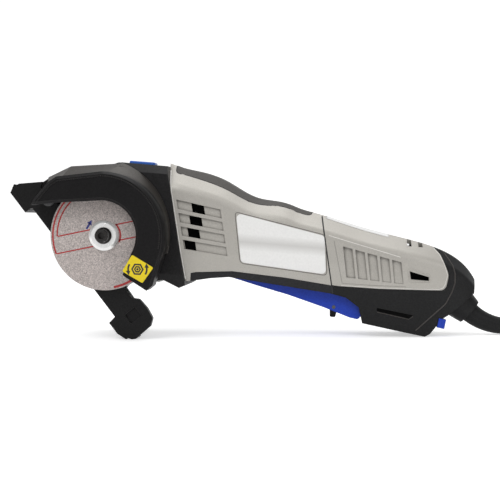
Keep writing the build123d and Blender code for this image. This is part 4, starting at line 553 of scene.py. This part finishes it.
def bead(name, places, radius, made, closed):
    """A thin round line through these places."""
    data = bpy.data.curves.new(name, "CURVE")
    data.dimensions = "3D"
    data.bevel_depth = WHOLE
    data.bevel_resolution = BEAD_SIDES
    line = data.splines.new("POLY")
    line.points.add(len(places) - 1)
    for point, place in zip(line.points, places):
        point.co = (*place, 1.0)
        point.radius = radius * MM
    line.use_cyclic_u = closed
    data.materials.append(made)
    made_bead = bpy.data.objects.new(name, data)
    scene.collection.objects.link(made_bead)
    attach(made_bead, "saw_body")


def trim(name, points, radius, made, closed=True, sink=0.5, near=True, beside=0.0):
    """A bead on the casing's side along a line of the side view; beside: over a gap this wide."""
    places = []
    for x, z in sampled(points, closed):
        hits = [found for found in (on_side(x - beside, z, near), on_side(x + beside, z, near)) if found[0]]
        if hits:
            hit, normal = min(hits, key=lambda found: found[0].y if near else -found[0].y)
            spot = saw(x, 0.0, z)
            spot.y = hit.y
            places.append(spot - normal * (radius * sink * MM))
    bead(name, places, radius, made, closed)


# Beads and seams on the casing
MIDDLE_SEAM = [(150.2, 27.0), (163.3, -31.5)]
WEDGE_RIM = [(214.2, -7.2), (216.6, -6.4), (229.6, -10.0), (230.6, -14.6), (215.6, -15.4)]
TAIL_RIDGE = [(237.5, 8.5), (242.2, 2.5), (245.6, -2.3), (247.5, -7.9), (248.0, -14.2), (246.4, -20.8),
              (242.6, -29.6), (223.0, -50.2)]
SHELL_RIM = [(168.0, -22.3), (195.0, -21.9), (231.0, -20.0), (237.0, -19.6), (239.8, -18.4), (241.0, -15.6),
             (242.3, -9.2), (240.2, -3.9), (236.1, 4.5), (231.5, 9.4)]
LABEL_RIM = [(88.9, 23.9), (154.2, 12.4), (157.5, -16.1), (95.4, -12.3)]


CORNER_STEPS = 5


def rounded(points, radius):
    """A closed outline with its corners rounded."""
    made = []
    for k, here in enumerate(points):
        before, after = Vector(points[k - 1]), Vector(points[(k + 1) % len(points)])
        here = Vector(here)
        start = here + (before - here).normalized() * radius
        end = here + (after - here).normalized() * radius
        for step in range(CORNER_STEPS + 1):
            t = step / CORNER_STEPS
            spot = start * (1 - t) ** 2 + here * 2 * t * (1 - t) + end * t * t
            made.append((spot.x, spot.y))
    return made


# Painted shade: dark lines in the gaps between the casing's parts and round the top grip
GAP_SHADE = surface("painted_gap_shade", (0.01, 0.01, 0.011), 0.6, fleck=0.1)
# Painted shade: near-black for sheets standing in for the dark inside of slots
INSIDE_SHADE = surface("painted_inside_shade", (0.002, 0.002, 0.002), 0.8, fleck=0.1, gloss=0.05)
SHADE = surface("silver_shade", (0.33, 0.315, 0.288), 0.45, metal=0.2, fleck=0.1, fleck_scale=2600.0)
# Painted shade: a dark line round the label where its groove lies in shadow
GROOVE_SHADE = surface("painted_groove_shade", (0.14, 0.13, 0.12), 0.5, fleck=0.1)
# Painted highlight: a lighter line along the tail grip's ridge and the tail slot's lower edge
RIDGE_HIGHLIGHT = surface("painted_ridge_highlight", (0.055, 0.05, 0.046), 0.5, fleck=0.15, gloss=0.3)
FRONT_RIM = [(38.9, 50.0), (57.6, -30.0)]
SLOT_EDGE = [(220.4, -40.2), (217.6, -42.5), (194.9, -39.2)]
PANEL_CREASE = [(156.5, 12.3), (208.0, 1.1)]
PANEL_FRAME = [(160.6, 8.8), (168.6, -20.6), (191.1, -20.4), (213.5, -19.4)]
GRIP_GAP = [(43.0, -19.5), (75.0, -19.0), (143.0, -15.0), (143.0, 15.0), (75.0, 19.0), (43.0, 19.5)]
GRIP_GAP_R, GRIP_GAP_ROUND, GRIP_GAP_SINK = 0.45, 4.0, 0.5
TAIL_SLOT = [(194.6, -36.3), (220.2, -39.4), (217.4, -41.9), (194.8, -38.6)]
# Each open line: name, points, radius, material, how much of its radius is sunk
OPEN_TRIMS = [
    ("tail_ridge", TAIL_RIDGE, 0.5, RIDGE_HIGHLIGHT, 0.3),
    ("front_rim", FRONT_RIM, 0.55, PALE, 0.5),
    ("shell_rim", SHELL_RIM, 0.35, PALE, 0.5),
    ("slot_edge", SLOT_EDGE, 0.3, RIDGE_HIGHLIGHT, 0.3),
    ("panel_crease", PANEL_CREASE, 0.35, PALE, 0.6),
    ("panel_frame", PANEL_FRAME, 0.4, SHADE, 0.7),
]
SEAM_R, SEAM_SINK, SEAM_BESIDE = 0.65, 0.7, 0.9
WEDGE_ROUND, WEDGE_RIM_R, WEDGE_SINK = 1.2, 0.7, 0.45
LABEL_ROUND, LABEL_RIM_R, LABEL_SINK = 3.2, 0.3, 0.4
for near in (True, False):
    hand = "near" if near else "far"
    trim("middle_seam_" + hand, MIDDLE_SEAM, SEAM_R, GAP_SHADE, closed=False, sink=SEAM_SINK, near=near,
         beside=SEAM_BESIDE)
    trim("wedge_rim_" + hand, rounded(WEDGE_RIM, WEDGE_ROUND), WEDGE_RIM_R, SILVER, sink=WEDGE_SINK,
         near=near)
    for name, points, radius, made, sink in OPEN_TRIMS:
        trim(name + "_" + hand, points, radius, made, closed=False, sink=sink, near=near)
trim("label_rim", rounded(LABEL_RIM, LABEL_ROUND), LABEL_RIM_R, GROOVE_SHADE, sink=LABEL_SINK)
grip_places = [on_top(x, y) for x, y in sampled(rounded(GRIP_GAP, GRIP_GAP_ROUND), True)]
bead("top_grip_gap", [hit - normal * (GRIP_GAP_R * GRIP_GAP_SINK * MM) for hit, normal in grip_places],
     GRIP_GAP_R, GAP_SHADE, True)

# Dark sheets of painted shade behind the air slots, inside the casing, and on the tail slot's floor
LOUVRE_SHADE = [(44.5, 32.0), (80.0, 27.0), (88.0, -10.0), (53.0, -8.0)]
WEDGE_SHADE = [(212.0, -5.5), (232.0, -9.0), (232.0, -17.0), (213.0, -16.0)]
# Each sheet of painted shade: name, outline, how far it stands from the saw's middle plane
SHADE_SHEETS = [("louvre_shade", LOUVRE_SHADE, 23.2), ("wedge_shade", WEDGE_SHADE, 17.5),
           ("slot_floor_shade", TAIL_SLOT, 21.2)]
SHADE_SHEET_THICK = 0.4
for hand, way in (("near", -1), ("far", 1)):
    for name, points, y in SHADE_SHEETS:
        plate = slab(points, way * y - SHADE_SHEET_THICK / 2, SHADE_SHEET_THICK)
        mesh_piece(name + "_" + hand, *plate, INSIDE_SHADE, "saw_body")

# Disc bolt with a smaller head than the solid's, as in the photograph
BOLT_SIDES = 36
BOLT_PROFILE = [(3.0, -47.5), (5.9, -48.2), (5.9, -48.8), (5.2, -49.8), (4.7, -50.2), (4.7, -54.9),
                (4.1, -55.5)]
SOCKET_R, SOCKET_FLOOR_Y = 2.6, -52.0


def socket_r(angle):
    """How far a six-sided socket's wall is from its middle at an angle."""
    return SOCKET_R * math.cos(math.pi / 6) / math.cos(angle % (math.pi / 3) - math.pi / 6)


bolt_verts, bolt_faces = [], []
bolt_angles = [2 * math.pi * k / BOLT_SIDES for k in range(BOLT_SIDES)]
for r, y in BOLT_PROFILE:
    bolt_verts += [saw(r * math.cos(a), y, r * math.sin(a)) for a in bolt_angles]
for y in (BOLT_PROFILE[-1][1], SOCKET_FLOOR_Y):
    bolt_verts += [saw(socket_r(a) * math.cos(a), y, socket_r(a) * math.sin(a)) for a in bolt_angles]
for ring in range(len(BOLT_PROFILE) + 1):
    for k in range(BOLT_SIDES):
        here, after = ring * BOLT_SIDES + k, ring * BOLT_SIDES + (k + 1) % BOLT_SIDES
        bolt_faces.append((here, here + BOLT_SIDES, after + BOLT_SIDES, after))
bolt_faces.append(tuple(range(BOLT_SIDES)))
bolt_faces.append(tuple(reversed(range(len(bolt_verts) - BOLT_SIDES, len(bolt_verts)))))
bolt = mesh_piece("disc_bolt_head", bolt_verts, bolt_faces, BOLT_STEEL, "spindle_stack")
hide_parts("disc_bolt")

# Guard cover with a shorter tail than the solid's, as in the photograph
GUARD_TAIL = [(43.9, -22.5), (38.3, -31.8), (35.0, -35.2), (15.8, -25.0)]
SAME_PLACE = 1e-6
form = bmesh.new()
form.from_mesh(NODES["guard_cover"].data)
bmesh.ops.remove_doubles(form, verts=form.verts, dist=SAME_PLACE)
for start, end in zip(GUARD_TAIL, GUARD_TAIL[1:]):
    corner = saw(start[0], 0.0, start[1])
    outward = (saw(end[0], 0.0, end[1]) - corner).cross(Vector((0.0, 1.0, 0.0))).normalized()
    cut = bmesh.ops.bisect_plane(form, geom=form.verts[:] + form.edges[:] + form.faces[:],
                                 dist=SAME_PLACE / 10, plane_co=corner, plane_no=outward, clear_outer=True)
    rim_edges = [edge for edge in cut["geom_cut"] if isinstance(edge, bmesh.types.BMEdge)]
    bmesh.ops.holes_fill(form, edges=rim_edges)
cover_data = bpy.data.meshes.new("guard_cover_short")
form.to_mesh(cover_data)
form.free()
cover_data.materials.clear()
cover_data.materials.append(GUARD)
cover = bpy.data.objects.new("guard_cover_short", cover_data)
scene.collection.objects.link(cover)
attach(cover, "saw_body")
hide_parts("guard_cover")

# Cheek of the foot's hinge, a web on the gear case between the guard and the toe
HINGE_CHEEK = [(-54.0, 32.0), (-50.7, 34.4), (-45.8, 38.0), (-42.5, 37.5), (-40.0, 30.0), (-48.0, 24.0)]
CHEEK_Y, CHEEK_THICK = -30.4, 2.9
mesh_piece("hinge_cheek", *slab(HINGE_CHEEK, CHEEK_Y, CHEEK_THICK), CASTING, "saw_body")

# Raised rim on the guard's front face
RIM_Y, RIM_THICK, RIM_WIDE = -58.35, 0.55, 0.7
RIM_R, RIM_FROM, RIM_TO, RIM_STEPS = 41.0, 94, -8, 48
RIM_TOP = [(-46.6, 20.0), (-38.3, 31.7), (-33.2, 35.6), (-2.9, 41.4)]
guard_rim = [arc_band(RIM_R, RIM_WIDE, RIM_FROM, RIM_TO, RIM_Y, RIM_THICK, steps=RIM_STEPS)]
for start, end in zip(RIM_TOP, RIM_TOP[1:]):
    guard_rim.append(stroke(start, end, RIM_WIDE, RIM_Y, RIM_THICK))
mesh_piece("guard_rim", *join(guard_rim), GUARD, "saw_body")

# Screw heads: a flat dome with a dark cross of painted shade standing in for the recess
SCREW_R, SCREW_HIGH, SCREW_SIDES = 2.6, 0.9, 20
SCREW_PROFILE = [(SCREW_R, -0.3), (SCREW_R, 0.5 * SCREW_HIGH), (0.75 * SCREW_R, SCREW_HIGH)]
CROSS_LONG, CROSS_WIDE = 1.4, 0.3
CROSS_LOW, CROSS_HIGH = SCREW_HIGH - 0.1, SCREW_HIGH + 0.03


def screw(name, middle, way, body):
    """A small screw head standing on a surface, its middle on the surface and its axis along way."""
    turn = way.to_track_quat("Z", "Y").to_matrix()
    verts, faces = [], []
    for radius, high in SCREW_PROFILE:
        for k in range(SCREW_SIDES):
            angle = 2 * math.pi * k / SCREW_SIDES
            spot = Vector((radius * math.cos(angle), radius * math.sin(angle), high))
            verts.append(middle + turn @ spot * MM)
    for ring in (0, SCREW_SIDES):
        for k in range(SCREW_SIDES):
            after = (k + 1) % SCREW_SIDES
            faces.append((ring + k, ring + after, ring + after + SCREW_SIDES, ring + k + SCREW_SIDES))
    faces.append(tuple(range(2 * SCREW_SIDES, 3 * SCREW_SIDES)))
    faces.append(tuple(reversed(range(SCREW_SIDES))))
    mesh_piece(name, verts, faces, DARK_STEEL, body)
    # Painted shade: a thin dark cross laid on the dome where the recess would be
    cross = []
    for half_x, half_y in ((CROSS_LONG, CROSS_WIDE), (CROSS_WIDE, CROSS_LONG)):
        corners = [(-half_x, -half_y), (half_x, -half_y), (half_x, half_y), (-half_x, half_y)]
        lower = [middle + turn @ Vector((x, y, CROSS_LOW)) * MM for x, y in corners]
        upper = [middle + turn @ Vector((x, y, CROSS_HIGH)) * MM for x, y in corners]
        sides = [(k, (k + 1) % 4, (k + 1) % 4 + 4, k + 4) for k in range(4)]
        cross.append((lower + upper, [(3, 2, 1, 0), (4, 5, 6, 7), *sides]))
    mesh_piece(name + "_recess_shade", *join(cross), GAP_SHADE, body)


FAR_SCREWS = [(66.0, 34.0), (140.0, 14.0), (137.0, -14.0), (176.0, 8.0), (232.0, -2.0), (190.0, -30.0),
              (228.0, -42.0)]
for number, (x, z) in enumerate(FAR_SCREWS):
    hit, normal = on_side(x, z, near=False)
    screw("case_screw_%d" % number, hit, normal, "saw_body")

# A white strip along the top of the rear shells
WHITE_STRIP_FROM, WHITE_STRIP_TO, WHITE_STRIP_THICK, WHITE_STRIP_SUNK = 153.4, 199.0, 0.2, -0.1
WHITE_STRIP_HALF = (0.0, 5.0, 9.5, 10.6, 11.2, 11.8, 12.4, 13.0, 13.6)
WHITE_STRIP_ACROSS = [-y for y in reversed(WHITE_STRIP_HALF[1:])] + list(WHITE_STRIP_HALF)
WHITE_STRIP_ROWS, WHITE_STRIP_COLUMNS = 24, len(WHITE_STRIP_ACROSS) - 1


def white_strip_point(row, column, lift):
    """A point over the casing's top: row along the motor axis, column across it."""
    x = WHITE_STRIP_FROM + (WHITE_STRIP_TO - WHITE_STRIP_FROM) * row / WHITE_STRIP_ROWS
    y = WHITE_STRIP_ACROSS[column]
    hit, normal = on_top(x, y)
    return hit + normal * (lift * MM)


wide = WHITE_STRIP_COLUMNS + 1
white_strip_verts = [white_strip_point(row, column, lift) for lift in (WHITE_STRIP_SUNK, WHITE_STRIP_THICK)
              for row in range(WHITE_STRIP_ROWS + 1) for column in range(wide)]
white_strip_faces = []
upper = wide * (WHITE_STRIP_ROWS + 1)
for row in range(WHITE_STRIP_ROWS):
    for column in range(WHITE_STRIP_COLUMNS):
        here = row * wide + column
        cell = [here, here + wide, here + wide + 1, here + 1]
        white_strip_faces.append(tuple(cell[::-1]))
        white_strip_faces.append(tuple(upper + k for k in cell))
rim = list(range(wide))
rim += [row * wide + WHITE_STRIP_COLUMNS for row in range(1, WHITE_STRIP_ROWS + 1)]
rim += [WHITE_STRIP_ROWS * wide + column for column in range(WHITE_STRIP_COLUMNS - 1, -1, -1)]
rim += [row * wide for row in range(WHITE_STRIP_ROWS - 1, 0, -1)]
for here, after in zip(rim, rim[1:] + rim[:1]):
    white_strip_faces.append((here, after, after + upper, here + upper))
mesh_piece("top_white_strip", white_strip_verts, white_strip_faces, WHITE_STRIP, "saw_body", smooth=True)

# Blue moulded grip over the stored key's end
KEY, KEY_Y, KEY_ALONG = Vector((238.5, -43.5)), -13.6, Vector((0.991, -0.132))
GRIP_HALF, GRIP_LONG, GRIP_WIDE = 3.32, 5.12, 9.24
key_across = Vector((-KEY_ALONG.y, KEY_ALONG.x)) * GRIP_HALF
key_far = KEY + KEY_ALONG * GRIP_LONG
grip = [KEY + key_across, KEY - key_across, key_far - key_across, key_far + key_across]
mesh_piece("key_grip", *slab(grip, KEY_Y - GRIP_WIDE / 2, GRIP_WIDE), BLUE, "stored_key")

# Floor, light and view
FLOOR_COLOUR = (0.8, 0.8, 0.8)
FLOOR_GLOW, FLOOR_ROUGH = 0.5, 0.6
WHITE = (1.0, 1.0, 1.0, 1.0)
COVE_STEPS = 12
floor_mesh = bpy.data.meshes.new("floor")
FLOOR_HALF, FLOOR_BACK, BACK_HIGH, COVE = 4.0, 1.6, 3.0, 0.5
rows = [(-FLOOR_HALF, 0.0), (FLOOR_BACK - COVE, 0.0)]
rows += [(FLOOR_BACK - COVE + COVE * math.sin(a), COVE - COVE * math.cos(a))
         for a in [math.pi / 2 * k / COVE_STEPS for k in range(1, COVE_STEPS + 1)]]
rows.append((FLOOR_BACK, BACK_HIGH))
verts = [(x, y, z) for y, z in rows for x in (-FLOOR_HALF, FLOOR_HALF)]
faces = [(2 * k, 2 * k + 1, 2 * k + 3, 2 * k + 2) for k in range(len(rows) - 1)]
floor_mesh.from_pydata(verts, [], faces)
for polygon in floor_mesh.polygons:
    polygon.use_smooth = True
floor = bpy.data.objects.new("floor", floor_mesh)
scene.collection.objects.link(floor)
floor_made, nodes, links, shader = tree("floor")
shader.inputs["Roughness"].default_value = FLOOR_ROUGH
shader.inputs["Base Color"].default_value = (*FLOOR_COLOUR, 1.0)
shader.inputs["Emission Color"].default_value = WHITE
path = nodes.new("ShaderNodeLightPath")
seen = path.outputs["Is Camera Ray"]
for ray in ("Is Glossy Ray", "Is Transmission Ray"):
    either = nodes.new("ShaderNodeMath")
    either.operation = "MAXIMUM"
    links.new(seen, either.inputs[0])
    links.new(path.outputs[ray], either.inputs[1])
    seen = either.outputs["Value"]
glow = spread(nodes, links, seen, 0.0, FLOOR_GLOW)
links.new(glow, shader.inputs["Emission Strength"])
floor_mesh.materials.append(floor_made)


LAMP_AIM = Vector((0.0, 0.0, 0.05))


def lamp(name, place, size, power):
    """A square area lamp at place that faces the saw."""
    data = bpy.data.lights.new(name, "AREA")
    data.size = size
    data.energy = power
    made = bpy.data.objects.new(name, data)
    made.location = place
    made.rotation_mode = "QUATERNION"
    made.rotation_quaternion = (LAMP_AIM - Vector(place)).to_track_quat("-Z", "Y")
    scene.collection.objects.link(made)


# Each lamp: name, place, width in metres, power in watts
LAMPS = [("key", (-0.5, -1.0, 1.3), 0.9, 10.0), ("fill", (1.0, -1.1, 0.7), 0.9, 4.0),
         ("top", (0.1, 0.2, 1.5), 1.1, 9.0)]
for settings in LAMPS:
    lamp(*settings)
WORLD_STRENGTH = 0.38
world = bpy.data.worlds.new("studio")
world.use_nodes = True
world.node_tree.nodes["Background"].inputs["Color"].default_value = WHITE
world.node_tree.nodes["Background"].inputs["Strength"].default_value = WORLD_STRENGTH
scene.world = world
scene.view_settings.view_transform = "Standard"
